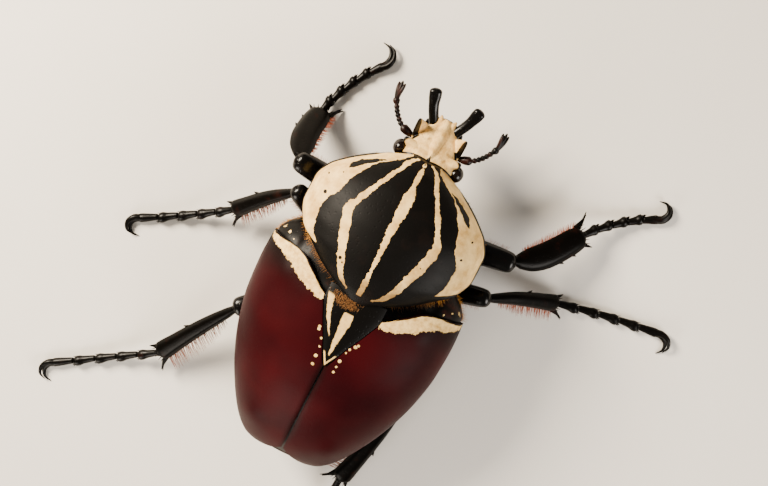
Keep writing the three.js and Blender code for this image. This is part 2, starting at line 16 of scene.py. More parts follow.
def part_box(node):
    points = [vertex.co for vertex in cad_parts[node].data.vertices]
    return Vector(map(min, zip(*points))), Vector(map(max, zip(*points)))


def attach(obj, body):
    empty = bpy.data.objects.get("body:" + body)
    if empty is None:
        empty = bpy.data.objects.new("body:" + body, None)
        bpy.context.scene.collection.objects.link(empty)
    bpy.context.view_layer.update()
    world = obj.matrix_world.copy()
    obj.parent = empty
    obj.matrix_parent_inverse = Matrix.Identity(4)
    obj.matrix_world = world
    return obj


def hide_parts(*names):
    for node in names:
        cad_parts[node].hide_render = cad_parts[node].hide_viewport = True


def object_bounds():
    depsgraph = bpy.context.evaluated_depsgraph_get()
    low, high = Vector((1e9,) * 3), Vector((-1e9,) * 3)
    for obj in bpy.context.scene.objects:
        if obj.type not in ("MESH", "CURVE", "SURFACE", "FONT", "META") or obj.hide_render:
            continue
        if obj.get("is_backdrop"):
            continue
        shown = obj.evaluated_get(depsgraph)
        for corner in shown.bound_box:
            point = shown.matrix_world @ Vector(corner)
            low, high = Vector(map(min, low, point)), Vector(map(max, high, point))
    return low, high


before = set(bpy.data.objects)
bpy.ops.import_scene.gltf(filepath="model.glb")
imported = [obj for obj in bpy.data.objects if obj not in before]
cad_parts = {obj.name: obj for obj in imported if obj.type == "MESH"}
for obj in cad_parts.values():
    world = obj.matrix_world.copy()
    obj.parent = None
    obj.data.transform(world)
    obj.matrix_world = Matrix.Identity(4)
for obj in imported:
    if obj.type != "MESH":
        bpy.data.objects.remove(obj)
CAD_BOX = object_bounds()

bl_info = {
    "name": "Goliath beetle",
    "version": (1, 0, 0),
    "blender": (4, 5, 0),
    "location": "View3D > Sidebar > Beetle",
    "description": "Builds the shell plates, head, legs and hairs of a goliath beetle",
    "category": "Object",
}

MM = 0.001
SHIELD_LOW, SHIELD_HIGH = (Vector(corner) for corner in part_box("pronotum"))
SHIELD_FRONT, SHIELD_REAR = -26.4, 4.6
ORIGIN = Vector(((SHIELD_LOW.x + SHIELD_HIGH.x) / 2, SHIELD_HIGH.y - SHIELD_REAR * MM, 0))
PLACE = Matrix.Translation(ORIGIN) @ Matrix.Scale(MM, 4)
UP = Vector((0, 0, 1))
SIDES = (("left", 1), ("right", -1))

# Curves of the shell, each as [y, half width] or [y, height] from front to back.
CASE_WIDTH = [(-4, 20.5), (2, 22.6), (9, 23.1), (16, 22.9), (24, 21.7), (32, 19.3), (40, 15.8), (46, 12.2),
              (49.5, 9)]
CASE_TOP = [(-4, 28.5), (2, 30.4), (9, 31.6), (18, 31.7), (27, 30.3), (35, 27.4), (42, 23.4), (47, 18.6),
            (49.5, 14.6)]
CASE_EDGE = [(-4, 19.0), (9, 17.4), (24, 15.2), (40, 12.4), (49.5, 11.0)]
# The arch of the wing cases: below 1 the sides stand fuller than in an ellipse.
CASE_ARCH = 0.92
SCUTELLUM_SPAN = (3.6, 20.1)
SCUTELLUM_THICKNESS = 1.2
SCUTELLUM_SIDE = [(4, 6.6), (6.4, 6.6), (9.6, 5.4), (15.4, 2.6), (19.8, 0.6), (20.3, 0.1), (50, 0.1)]
SHIELD_WIDTH = [(-26.4, 3.6), (-25.4, 6), (-24, 8.9), (-22.3, 11.8), (-19.4, 15.6), (-16.6, 18.4),
                (-13, 20), (-8, 20), (-4, 18.3), (-1.4, 14.9), (1.2, 10.8), (3.2, 6.6), (4.6, 2.6)]
SHIELD_TOP = [(-26.4, 24.2), (-24, 26.7), (-18, 30.6), (-10, 33.2), (-3, 33.6), (2, 32.8), (4.6, 31.9)]
SHIELD_EDGE = [(-26.4, 20.8), (-22, 20.3), (-13, 19.6), (-6, 20.6), (-2, 23), (1.2, 26.6), (4.6, 30.5)]
SHIELD_UNDER = [(-26.4, 16.6), (-22, 13.2), (-14, 10.6), (-7, 11.2), (-3, 16), (0, 23.6), (4.6, 30.1)]
THORAX_WIDTH = [(-6, 11), (-3.6, 17.6), (-1, 21), (1.4, 22.3), (4, 21.4), (8, 21.5), (11.7, 21.4)]
THORAX_TOP = [(-6, 20), (-3, 24.4), (0, 26.4), (2, 27.3), (6, 29.6), (11.7, 30.1)]
THORAX_EDGE = [(-6, 17), (0, 17.6), (11.7, 16.2)]
THORAX_UNDER = [(-6, 10.6), (-2, 7.6), (4, 6.2), (11.7, 5.9)]
THORAX_SPAN = (-6, 11.7)
BELLY_UNDER = [(12, 6.2), (24, 6.4), (34, 7.2), (42, 8.6), (47.6, 10.2)]
BELLY_SPAN = (12, 47.6)
BELLY_PLATES = 6
# The front and the rear end of a wing case, each as [|x|, y].
CASE_FRONT = [(0, 6.2), (6.9, 6.2), (11, 3.6), (15, 1.3), (20, 1.3), (26, 2.6)]
CASE_END = [(0, 45.2), (2.8, 47.5), (6, 48.7), (9.5, 48.3), (12.7, 46.2), (15.6, 42), (19, 36)]

# Half widths and heights of the head and of its middle ridge, at distances ahead of y = 0.
HEAD_REACH = (24.4, 26.2, 28.6, 30.4, 32.2, 33.8, 35.4)
HEAD_WIDTH = (5.2, 6.2, 5.6, 4.9, 4.1, 3.2, 2.2)
HEAD_TOP = (21.9, 21.7, 20.6, 19.5, 18.4, 17.5, 16.9)
HEAD_EDGE = (18.2, 17.8, 17.0, 16.4, 15.8, 15.4, 15.2)
HEAD_UNDER = (13.8, 13.0, 12.6, 12.6, 12.7, 13.0, 13.6)
RIDGE_REACH = (26.2, 28.5, 31.5, 34.2, 35.8)
RIDGE_WIDTH = (0.7, 1.6, 2.0, 1.6, 1.0)
RIDGE_TOP = (21.6, 21.3, 19.8, 18.2, 17.2)
RIDGE_EDGE, RIDGE_UNDER = 15.6, 15.0
# The front tooth and the brow of one side: root, tip, the radii of both and the number of sides.
HEAD_SPINES = (
    ((1.2, -34.2, 16.2), (1.7, -36.2, 16.9), 0.95, 0.25, 12),
    ((3.6, -27.6, 19.0), (6.6, -28.8, 19.9), 1.5, 0.5, 14),
)
# Places on the left side of the head.
EYE_CENTRE = (6.6, -26.4, 18.0)
EYE_RADII = (1.6, 1.8, 2.0)
HORN_ROOT = (2.3, -33.5, 15.9)
LOBE_ROOT = (4.1, -30.6, 15.8)
LOBE_TIP = (5.5, -33.9, 21.6)
LOBE_LINE = (-0.465, -0.884, 0)
# A feeler: its route, the share of it that is the first segment, its beads, and the headings of its leaves.
FEELER_ROUTE = ((5.3, -29.3, 16.3), (8.3, -30.4, 17.0), (10.3, -32.2, 16.8), (11.8, -34.6, 16.6))
FEELER_CLUB = 0.385
FEELER_BEADS = 6
FEELER_LEAVES = (-3, 7, 17)
# The mouth feelers, each as its route and the radii of its root and tip.
PALPS = (
    (((2.4, -30.4, 11.6), (3.9, -31.8, 11.0), (3.9, -33.8, 12.0)), 0.5, 0.3),
    (((1.1, -31.6, 11.4), (1.6, -33.4, 10.8), (1.7, -35.0, 11.4)), 0.46, 0.28),
)
# Directions that no spine and no mouth feeler follows, for their cross sections.
SPINE_UP = Vector((0.11, 0.07, 1)).normalized()
PALP_UP = Vector((0.1, 0.1, 1)).normalized()

# Legs: every pair shares its sizes. A shin is "wide" across times its "shin" shares from knee to ankle. The
# spurs and the fringe are on a leg's front side where "spurs" is 1, and on its rear side where it is -1.
PAIRS = {
    "front": dict(hip=(9.2, -10.4, 9.6), coxa=(4.6, 3.4, 3.6), femur=17.4, thick=5.6, tibia=18.4, wide=5.8,
                  bow=1.3, shin=(0.6, 0.94, 1.02, 1.0, 0.86, 0.62), spurs=1, tarsus=17.2),
    "middle": dict(hip=(8.2, 1.6, 7.6), coxa=(4.4, 3.6, 3.2), femur=18.8, thick=5.0, tibia=20.6, wide=4.0,
                   bow=0.5, shin=(0.54, 0.7, 0.82, 0.92, 1.0, 0.8), spurs=-1, tarsus=24),
    "hind": dict(hip=(8.6, 13.4, 7.4), coxa=(6.4, 3.4, 2.8), femur=18.2, thick=5.4, tibia=26, wide=4.6,
                 bow=0.3, shin=(0.5, 0.64, 0.76, 0.9, 1.0, 0.8), spurs=-1, tarsus=27.5),
}
# In degrees: the heading and rise of a thigh and of a shin, the headings of both ends of a foot, and the turn
# of the hooked claws.
STANCES = {
    "front_left": ((78, 27), (12, -57), (-16, -40), 110),
    "front_right": ((79, 8), (46, -22), (44, 62), -150),
    "middle_left": ((57, 29), (136, -31), (128, 120), 140),
    "middle_right": ((70, 20), (76, -36), (76, 84), 120),
    "hind_left": ((125, 14), (149, -17), (126, 124), 120),
    "hind_right": ((140, 2), (191, -8.5), (178, 160), 110),
}
FOOT_SEGMENTS = 5
FOOT_HEIGHT = 1.05
# Stiff thorns of a foot segment: place out from its middle, place up, length and radius.
FOOT_THORNS = ((0.75, -0.1, 1.5, 0.5), (0.5, -0.5, 1.2, 0.2), (-0.6, -0.5, 1.1, 0.17), (0.9, 0.25, 1.2, 0.17))
# The spurs at the end of a shin: place as a share of its half width, length and lift.
SHIN_SPURS = ((0.5, 4.2, -0.4), (0.8, 3.2, 0.4))
# The teeth on the outer edge of a shin, as shares of its length, and the bristles round its end.
SHIN_TEETH = {"front": (0.62, 0.8), "middle": (0.58,), "hind": (0.58,)}
CROWN_BRISTLES = 11
# How many hairs each group has, how far a shin's fringe reaches as a share of the full length, and the radius
# of a fine hair.
SHIN_HAIRS, THIGH_HAIRS = 110, 70
MAT_HAIRS, REAR_HAIRS, FLANK_HAIRS, RIM_HAIRS = 650, 520, 420, 700
FRINGE_REACH = {"front": 0.4, "middle": 0.75, "hind": 1.0}
HAIR_RADIUS = 0.045
# The middle and the front edge of the mat of hair on the scutellum, as x and y.
MAT_MIDDLE, MAT_FRONT = 1.6, 4.3

# The view of the photograph: its turn, its lean towards the head, its distance and its scale at the aim.
VIEW_ROLL = 27.0
VIEW_LEAN = 12.0
VIEW_DISTANCE = 270.0
VIEW_SCALE = 4.63
VIEW_AIM = Vector((0, 0, 19))
VIEW_AIM_PIXEL = (372.8, 269.4)
PICTURE = (768, 486)
SENSOR = 36
# The square softboxes: place and size in millimetres, watts and colour.
LIGHTS = {
    "key_softbox": ((290, -95, 225), 130, 6.5, "#fff0da"),
    "fill_softbox": ((-290, 60, 190), 160, 1.6, "#fff8f0"),
    "back_softbox": ((70, 320, 150), 150, 1.2, "#fff4e6"),
}
ROOM_LIGHT = {"Color": "#f0ebe4", "Strength": 0.26}
FLOOR_HALF = 900
# The floor lies a little below the feet.
FLOOR_LEVEL = -0.02


def linear(code):
    """An sRGB hex value as linear red, green, blue and alpha."""
    parts = [int(code[i:i + 2], 16) / 255 for i in (1, 3, 5)]
    return tuple(c / 12.92 if c <= 0.04045 else ((c + 0.055) / 1.055) ** 2.4 for c in parts) + (1.0,)


def profile(pairs):
    """A smooth curve through (position, value) pairs that never swings past them."""
    def slope(i):
        if i in (0, len(pairs) - 1):
            return None
        before = (pairs[i][1] - pairs[i - 1][1]) / (pairs[i][0] - pairs[i - 1][0])
        after = (pairs[i + 1][1] - pairs[i][1]) / (pairs[i + 1][0] - pairs[i][0])
        return 0 if before * after <= 0 else 2 * before * after / (before + after)

    slopes = [slope(i) for i in range(len(pairs))]

    def value(x):
        i = 0
        while i < len(pairs) - 2 and x > pairs[i + 1][0]:
            i += 1
        (x0, v0), (x1, v1) = pairs[i], pairs[i + 1]
        width = x1 - x0
        t = min(max((x - x0) / width, 0), 1)
        chord = (v1 - v0) / width
        m0 = (chord if slopes[i] is None else slopes[i]) * width
        m1 = (chord if slopes[i + 1] is None else slopes[i + 1]) * width
        s = 1 - t
        return v0 * s * s * (1 + 2 * t) + m0 * t * s * s + v1 * t * t * (3 - 2 * t) - m1 * t * t * s

    return value


def profile_ahead(reach, sizes):
    """A smooth curve along the head, from sizes at distances ahead of y = 0."""
    value = profile(list(zip(reach, sizes)))
    return lambda y: value(-y)


def steps(a, b, count):
    """Evenly spread numbers from a to b."""
    return [a + (b - a) * i / count for i in range(count + 1)]


def bell(x, centre, width):
    """A smooth bump of height 1."""
    return math.exp(-((x - centre) / width) ** 2)


def mirrored(point, sign):
    """A point on the side that sign gives."""
    return Vector((point[0] * sign, point[1], point[2]))


def heading(turn, rise, sign):
    """A unit vector from a heading, 0 straight ahead and 90 out to the side, and a rise."""
    turn, rise = math.radians(turn), math.radians(rise)
    return Vector((sign * math.sin(turn) * math.cos(rise), -math.cos(turn) * math.cos(rise),
                   math.sin(rise)))


class Path:
    """A smooth path through points, measured along its length."""

    def __init__(self, points):
        points = [Vector(p) for p in points]
        ends = [2 * points[0] - points[1]] + points + [2 * points[-1] - points[-2]]
        self.line = []
        for i in range(1, len(ends) - 2):
            a, b, c, d = ends[i - 1:i + 3]
            for t in steps(0, 1, 16)[:-1]:
                self.line.append(0.5 * (2 * b + (c - a) * t + (2 * a - 5 * b + 4 * c - d) * t * t
                                        + (3 * b - a - 3 * c + d) * t ** 3))
        self.line.append(points[-1])
        self.reach = [0.0]
        for a, b in zip(self.line, self.line[1:]):
            self.reach.append(self.reach[-1] + (b - a).length)

    def at(self, t):
        """The point and the direction at a share t of the length."""
        goal = t * self.reach[-1]
        i = 0
        while i < len(self.line) - 2 and self.reach[i + 1] < goal:
            i += 1
        span = self.reach[i + 1] - self.reach[i]
        a, b = self.line[i], self.line[i + 1]
        return a + (b - a) * ((goal - self.reach[i]) / span), (b - a).normalized()


def add_loft(bm, rings):
    """Extrudes a circle from ring to ring and closes both ends."""
    verts = bmesh.ops.create_circle(bm, segments=len(rings[0]), radius=1)["verts"]
    first = edges = list(dict.fromkeys(e for v in verts for e in v.link_edges))
    for vert, point in zip(verts, rings[0]):
        vert.co = point
    for ring in rings[1:]:
        made = bmesh.ops.extrude_edge_only(bm, edges=edges)["geom"]
        fresh = {g for g in made if isinstance(g, bmesh.types.BMVert)}
        verts = [next(e.other_vert(v) for e in v.link_edges if e.other_vert(v) in fresh) for v in verts]
        edges = [g for g in made if isinstance(g, bmesh.types.BMEdge) and set(g.verts) <= fresh]
        for vert, point in zip(verts, ring):
            vert.co = point
    caps = bmesh.ops.edgeloop_fill(bm, edges=first + edges)["faces"]
    if len(caps) != 2:
        raise RuntimeError("a lofted skin did not close")


def round_off(rings, end, direction, shrinks):
    """Adds smaller rings beyond an end of a body, each a share of its size and a move out along the body."""
    base = rings[end]
    centre = sum(base, Vector()) / len(base)
    for size, move in shrinks:
        ring = [centre + (p - centre) * size + Vector((0, move * direction, 0)) for p in base]
        rings.insert(0 if end == 0 else len(rings), ring)


def body_rings(ys, width, top, edge, under, sides, back=1.0, belly=1.0, shape=None):
    """Rings in planes across the body, each from the left edge over the back and round the belly."""
    rings = []
    for y in ys:
        ring = []
        for i in range(sides):
            a = 2 * math.pi * i / sides
            across, rise = math.cos(a), math.sin(a)
            level = edge(y)
            height = (top(y) - level) * rise ** back if rise >= 0 else (under(y) - level) * (-rise) ** belly
            point = Vector((width(y) * across, y, level + height))
            ring.append(shape(point, across, rise) if shape else point)
        rings.append(ring)
    return rings


def add_limb(bm, path, width, thickness, up, sides=24, count=40, shift=None, flute=None, span=(0, 1)):
    """A tube of oval sections along a path. Sizes are functions of the share of the length."""
    rings = []
    for t in steps(span[0], span[1], count):
        centre, along = path.at(t)
        across = along.cross(up).normalized()
        rise = across.cross(along)
        move = shift(t) if shift else 0
        ring = []
        for i in range(sides):
            a = 2 * math.pi * (i + 0.5) / sides
            swell = flute(t, a) if flute else 1
            ring.append(centre + across * (width(t) * swell * math.cos(a) + move)
                        + rise * thickness(t) * swell * math.sin(a))
        rings.append(ring)
    add_loft(bm, rings)


def add_spine(bm, points, root, tip, sides=8, count=6):
    """A spine or claw that tapers along its points."""
    taper = lambda t: root + (tip - root) * t ** 1.2
    add_limb(bm, Path(points), taper, taper, SPINE_UP, sides, count)


def add_ball(bm, centre, radii, sides=24):
    """A ball, stretched to three radii."""
    sizes = Matrix.Diagonal((*radii, 1))
    bmesh.ops.create_uvsphere(bm, u_segments=sides, v_segments=sides * 2 // 3, radius=1,
                              matrix=Matrix.Translation(centre) @ sizes)


def add_object(name, data):
    """A new object in the scene."""
    item = bpy.data.objects.new(name, data)
    bpy.context.scene.collection.objects.link(item)
    return item


def add_mesh(name, bm):
    """A new object from a mesh under construction."""
    mesh = bpy.data.meshes.new(name)
    bm.to_mesh(mesh)
    bm.free()
    return add_object(name, mesh)


def thicken(bm, thickness):
    """Turns a sheet face up and gives it a thickness below."""
    bmesh.ops.recalc_face_normals(bm, faces=bm.faces)
    if max(bm.faces, key=lambda f: f.calc_center_median().z).normal.z < 0:
        bmesh.ops.reverse_faces(bm, faces=bm.faces)
    bmesh.ops.solidify(bm, geom=bm.verts[:] + bm.edges[:] + bm.faces[:], thickness=thickness)


def finish(name, bm, look, nodes, sharp=50):
    """Turns a mesh built in the beetle's millimetres into a finished piece that stands for CAD nodes."""
    bmesh.ops.recalc_face_normals(bm, faces=bm.faces)
    bmesh.ops.transform(bm, matrix=PLACE, verts=bm.verts)
    piece = add_mesh(name, bm)
    piece.data.shade_smooth()
    piece.data.set_sharp_from_angle(angle=math.radians(sharp))
    piece.data.materials.append(finish_named(look))
    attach(piece, "root")
    if nodes:
        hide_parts(*nodes)


def blended(bm, voxel, rounds):
    """The joined skin of overlapping forms, remeshed and smoothed so that they flow into each other."""
    bmesh.ops.recalc_face_normals(bm, faces=bm.faces)
    forms = add_mesh("forms", bm)
    remesh = forms.modifiers.new("skin", "REMESH")
    remesh.mode = "VOXEL"
    remesh.voxel_size = voxel
    evaluated = forms.evaluated_get(bpy.context.evaluated_depsgraph_get())
    joined = bmesh.new()
    joined.from_mesh(evaluated.to_mesh())
    evaluated.to_mesh_clear()
    bpy.data.meshes.remove(forms.data)
    for _ in range(rounds):
        bmesh.ops.smooth_vert(joined, verts=joined.verts, factor=0.5, use_axis_x=True, use_axis_y=True,
                              use_axis_z=True)
    return joined


# Materials.


# Short names for the nodes that are used with a setting: the type of the node, the setting and its value.
KINDS = {
    "plus": ("Math", "operation", "ADD"),
    "minus": ("Math", "operation", "SUBTRACT"),
    "times": ("Math", "operation", "MULTIPLY"),
    "times_plus": ("Math", "operation", "MULTIPLY_ADD"),
    "absolute": ("Math", "operation", "ABSOLUTE"),
    "larger": ("Math", "operation", "MAXIMUM"),
    "distance": ("VectorMath", "operation", "DISTANCE"),
    "dot": ("VectorMath", "operation", "DOT_PRODUCT"),
    "blend": ("Mix", "data_type", "RGBA"),
    "soft_step": ("MapRange", "interpolation_type", "SMOOTHSTEP"),
}


def add_node(tree, kind, *values, **named):
    """Adds one node, with its setting and links, and returns its first output in use.

    Values fill the inputs in use in their order, and a named value goes to the input of that name.
    """
    kind, *setting = KINDS.get(kind, (kind,))
    node = tree.nodes.new("ShaderNode" + kind)
    if setting:
        setattr(node, *setting)
    filled = list(zip([socket for socket in node.inputs if socket.enabled], values))
    filled += [(node.inputs[name.replace("_", " ")], value) for name, value in named.items()]
    for socket, value in filled:
        if isinstance(value, bpy.types.NodeSocket):
            tree.links.new(value, socket)
        else:
            socket.default_value = value
    return next((socket for socket in node.outputs if socket.enabled), None)


def new_finish(name):
    """A material, the function that adds nodes to it, and the beetle's millimetres as a vector."""
    material = bpy.data.materials.new(name)
    material.use_nodes = True
    material.node_tree.nodes.clear()
    add = functools.partial(add_node, material.node_tree)
    place = add("TexCoord").node.outputs["Object"]
    return material, add, add("Mapping", place, Location=-ORIGIN / MM, Scale=(1 / MM,) * 3)


def curve_of(add, value, pairs, scale):
    """A number that follows (position, value) pairs; its values are shares of scale."""
    low, high = pairs[0][0], pairs[-1][0]
    curve = add("FloatCurve", Value=add("MapRange", value, low, high))
    points = curve.node.mapping.curves[0].points
    while len(points) < len(pairs):
        points.new(0.5, 0.5)
    for point, (position, size) in zip(points, pairs):
        point.location = ((position - low) / (high - low), size / scale)
    curve.node.mapping.update()
    return add("times", curve, scale)


def band(add, distance, half_width, soft=0.1):
    """1 where a distance is less than a half width."""
    return add("soft_step", add("minus", half_width, distance), -soft, soft)


def surface(add, colour, roughness, height=None, depth=0.05, **settings):
    """Closes a material: the shader, and a bump whose depth is in millimetres."""
    if height is not None:
        settings["Normal"] = add("Bump", Strength=1.0, Distance=depth * MM, Height=height)
    add("OutputMaterial", add("BsdfPrincipled", Base_Color=colour, Roughness=roughness, **settings))


def noise_of(add, place, size, detail=3.0, rough=0.5, offset=(0, 0, 0)):
    """Cloudy noise whose blotches are about the given size in millimetres."""
    moved = add("Mapping", place, Location=offset)
    return add("TexNoise", moved, Scale=1 / size, Detail=detail, Roughness=rough)


def ripple_of(add, place, size, detail, rough, swing):
    """Noise about 0 that makes an edge uneven, by up to about half the swing, in millimetres."""
    return add("times", add("minus", noise_of(add, place, size, detail, rough), 0.5), swing)


def pits(add, place, spacing, radius):
    """Small round punctures in the shell, as a height of 0 in a pit and 1 outside it."""
    cells = add("TexVoronoi", place, Scale=1 / spacing, Randomness=1.0)
    return add("soft_step", cells, radius / spacing * 0.4, radius / spacing)


def spots_of(add, x, y, spots, ripple):
    """1 inside round spots with uneven edges. Each spot is its x, y and radius."""
    here = add("CombineXYZ", x, y, 0.0)
    shares = []
    for spot_x, spot_y, radius in spots:
        away = add("distance", here, (spot_x, spot_y, 0))
        shares.append(band(add, add("plus", away, ripple), radius, 0.05))
    while len(shares) > 1:
        shares.append(add("larger", shares.pop(0), shares.pop(0)))
    return shares[0]


# The pattern of the shield, each line as [y, distance from the middle] or [y, half width].
MEDIAN_LINE = [(-26.5, 0.0), (-25.6, 0.25), (-24, 0.6), (-22, 0.5), (-20.5, 0.85), (-18.7, 1.15),
               (-15.7, 1.1), (-13.4, 0.9), (-9.5, 0.62), (-6, 0.52), (-4.4, 0.42), (-2, 0.42), (0.3, 0.62),
               (2.3, 0.5), (3.4, 0.1)]
SIDE_LINE = [(-26.4, 1.7), (-25.4, 3.0), (-22, 5.0), (-18.8, 6.9), (-14.5, 9.1), (-12.9, 9.8), (-11, 9.7),
             (-9, 9.1), (-5.9, 8.1), (-4, 7.4), (-1.8, 6.6), (0.9, 5.4), (2.8, 3.2)]
SIDE_LINE_HALF = [(-26.4, 0.3), (-25.4, 0.5), (-22, 0.45), (-18.8, 0.6), (-14.5, 0.65), (-12.9, 0.95),
                  (-11, 1.15), (-9, 1.1), (-6, 1.0), (-4, 1.0), (-1.8, 0.8), (0.9, 0.75), (2.2, 0.6),
                  (2.8, 0.2)]
MARGIN_INNER = [(-26.4, 3.2), (-25, 4.8), (-23, 7.9), (-21, 10.0), (-18.5, 11.8), (-16.5, 12.7),
                (-14, 13.4), (-12, 14.6), (-9.3, 15.5), (-7.3, 15.3), (-5, 14.9), (-3.8, 14.3),
                (-2.6, 13.3), (-2.0, 13.1), (0, 17)]
SLIT = [(-23.6, 7.4), (-23.2, 8.2), (-21.5, 10.9), (-20.5, 12.3), (-19.1, 13.6), (-18.6, 14.0)]
SLIT_HALF = [(-23.6, 0.0), (-23.2, 0.3), (-21.5, 0.8), (-20.5, 0.75), (-19.1, 0.45), (-18.6, 0.0)]
# Dark specks in the pale stripes, as x, y and radius.
SHIELD_SPECKS = ((7.1, -2.3, 0.36), (6.3, -1.6, 0.24), (-15.4, -12.4, 0.32), (-15.9, -16.4, 0.26),
                 (16.1, -12.2, 0.4), (17.3, -15.6, 0.2), (-13.9, -7.2, 0.18), (-8.6, -7.8, 0.16),
                 (14.6, -17.4, 0.16))


def shell_of_shield(look):
    """Insect cuticle with chalky scales: satin cream stripes with stained edges, deep black between them."""
    material, add, place = new_finish("striped_cuticle")
    push = ripple_of(add, place, 1.9, 4.0, 0.65, 1.7)
    x, y, z = add("SeparateXYZ", place).node.outputs
    ax = add("plus", add("absolute", add("minus", x, 0.15)), push)
    # Each line is a centre and a half width that follow y.
    median = band(add, add("absolute", ax), curve_of(add, y, MEDIAN_LINE, 2))
    away = add("absolute", add("minus", ax, curve_of(add, y, SIDE_LINE, 12)))
    side = band(add, away, curve_of(add, y, SIDE_LINE_HALF, 2))
    margin = band(add, add("minus", curve_of(add, y, MARGIN_INNER, 20), ax), 0.0)
    # The pale margin runs out in a slanting point, which lies a little further forward on the right.
    slant = add("plus", y, add("times_plus", ax, 0.31, add("times", x, -0.04)))
    margin = add("times", margin, add("soft_step", slant, 1.75, 1.5))
    off_slit = add("absolute", add("minus", ax, curve_of(add, y, SLIT, 20)))
    slit = band(add, off_slit, curve_of(add, y, SLIT_HALF, 2))
    inside = add("times", add("soft_step", y, -23.65, -23.5), add("soft_step", y, -18.5, -18.7))
    slit = add("times", slit, inside)
    lines = add("larger", add("larger", median, side), add("minus", margin, slit))
    # Below the raised rim of the shield the shell is bare and black.
    rim = add("minus", z, curve_of(add, y, SHIELD_EDGE, 40))
    rim = add("plus", rim, add("times", add("soft_step", y, -22.5, -24.5), 0.9))
    lines = add("times", lines, add("soft_step", rim, 0.8, 1.1))
    ends = add("times", add("soft_step", y, -26.7, -26.5), add("soft_step", y, 3.3, 2.9))
    pale = add("times", lines, ends)
    specks = spots_of(add, x, y, SHIELD_SPECKS, add("times", push, 0.25))
    pale = add("times", pale, add("times_plus", specks, -0.9, 1.0))
    stain = noise_of(add, place, 4.0, 5.0, 0.65, (3, 1, 7))
    # The pale stripes turn amber towards their rear ends, a real stain; the extra amber towards the right
    # side, where x is negative, is painted shade.
    rear = add("plus", add("times_plus", x, -0.15, y), add("times", stain, 6))
    rear = add("soft_step", rear, -0.5, 5.0)
    cream = add("blend", add("soft_step", stain, 0.3, 0.75), look.cream, look.cream_shade)
    cream = add("blend", add("times", rear, 0.8), cream, look.amber)
    brown = add("soft_step", noise_of(add, place, 5.0, 4.0, 0.6, (9, 4, 2)), 0.5, 0.85)
    black = add("blend", add("times", brown, 0.5), look.black, look.black_brown)
    # The scales thin out at the edges of a stripe, so a brown line shows round it.
    edge = add("blend", add("times", add("soft_step", pale, 0.05, 0.35), 0.45), black, look.amber)
    colour = add("blend", add("soft_step", pale, 0.35, 0.7), edge, cream)
    roughness = add("plus", add("times", pale, 0.12), add("times_plus", stain, 0.15, 0.42))
    grain = add("times", noise_of(add, place, 0.35, 2.0), 0.35)
    height = add("times_plus", pale, 1.2, add("times_plus", pits(add, place, 0.95, 0.3), 0.7, grain))
    surface(add, colour, roughness, height, 0.02, Specular_IOR_Level=0.09)
    return material


# The rear and front edges of the white bands at the base of the wing cases, as [|x|, y].
BAND_REAR = [(6.0, 7.3), (7.2, 7.9), (9, 7.7), (11.3, 7.0), (13, 6.3), (14.6, 5.5), (15.9, 4.7),
             (17.2, 4.1), (19.5, 3.7), (22, 3.1), (23.5, 2.7)]
BAND_FRONT = [(6.0, 6.8), (6.9, 6.4), (11, 3.9), (15, 1.6), (20, 1.6), (23.5, 2.4)]
# Small white spots beside the scutellum, as x, y and radius. The two sides differ.
CASE_DOTS = [(4.5, 13.1, 0.34), (4.35, 13.6, 0.34), (3.1, 15.2, 0.2), (2.65, 16.9, 0.24), (2.45, 19.1, 0.4),
             (2.3, 21.1, 0.34), (-4.6, 13.1, 0.28), (-4.15, 13.6, 0.36), (-3.3, 14.6, 0.28),
             (-2.95, 15.6, 0.2), (-2.55, 17.8, 0.36), (-2.45, 19.3, 0.24), (-2.4, 20.6, 0.3)]


def shell_of_cases(look):
    """Velvety cuticle: fine upright scales make the oxblood deep and nearly without shine.

    Chalk-white scales lie at the base of the cases.
    """
    material, add, place = new_finish("oxblood_velvet_cuticle")
    x, y, z = add("SeparateXYZ", place).node.outputs
    waver = ripple_of(add, place, 1.1, 4.0, 0.65, 2.6)
    ax = add("absolute", x)
    front_edge, rear_edge = (curve_of(add, ax, line, 20) for line in (BAND_FRONT, BAND_REAR))
    front = band(add, add("minus", front_edge, add("times_plus", waver, 0.15, y)), 0.0)
    rear = band(add, add("minus", add("plus", y, waver), rear_edge), 0.0)
    ends = add("times", add("soft_step", ax, 6.15, 6.4), add("soft_step", ax, 23.2, 22.7))
    pale = add("times", add("times", front, rear), ends)
    pale = add("times", pale, add("soft_step", z, 18.3, 19.0))
    pale = add("larger", pale, spots_of(add, x, y, CASE_DOTS, add("times", waver, 0.2)))
    cloud = noise_of(add, place, 14.0, 2.0, 0.45)
    base = add("blend", add("soft_step", cloud, 0.2, 0.8), look.oxblood_dark, look.oxblood)
    # The shoulders, the seam and the strip beside the scutellum are nearly black.
    shoulder = add("soft_step", add("times_plus", cloud, 6, y), 14.0, 5.0)
    seam = add("soft_step", add("times_plus", cloud, 1.5, ax), 2.4, 0.7)
    dark = add("larger", shoulder, add("times", seam, 0.7))
    base = add("blend", add("times", dark, 0.85), base, look.black)
    chalk = noise_of(add, place, 1.1, 4.0, 0.6, (5, 5, 5))
    chalk = add("blend", add("soft_step", chalk, 0.3, 0.8), look.cream, look.cream_shade)
    colour = add("blend", pale, base, chalk)
    grain = noise_of(add, place, 0.16, 2.0, 0.6)
    roughness = add("plus", add("times", pale, 0.2), add("times_plus", cloud, 0.1, 0.42))
    height = add("times_plus", grain, 0.5, pale)
    height = add("plus", height, add("times", pits(add, place, 1.3, 0.3), 0.35))
    surface(add, colour, roughness, height, 0.03, Specular_IOR_Level=0.04)
    return material


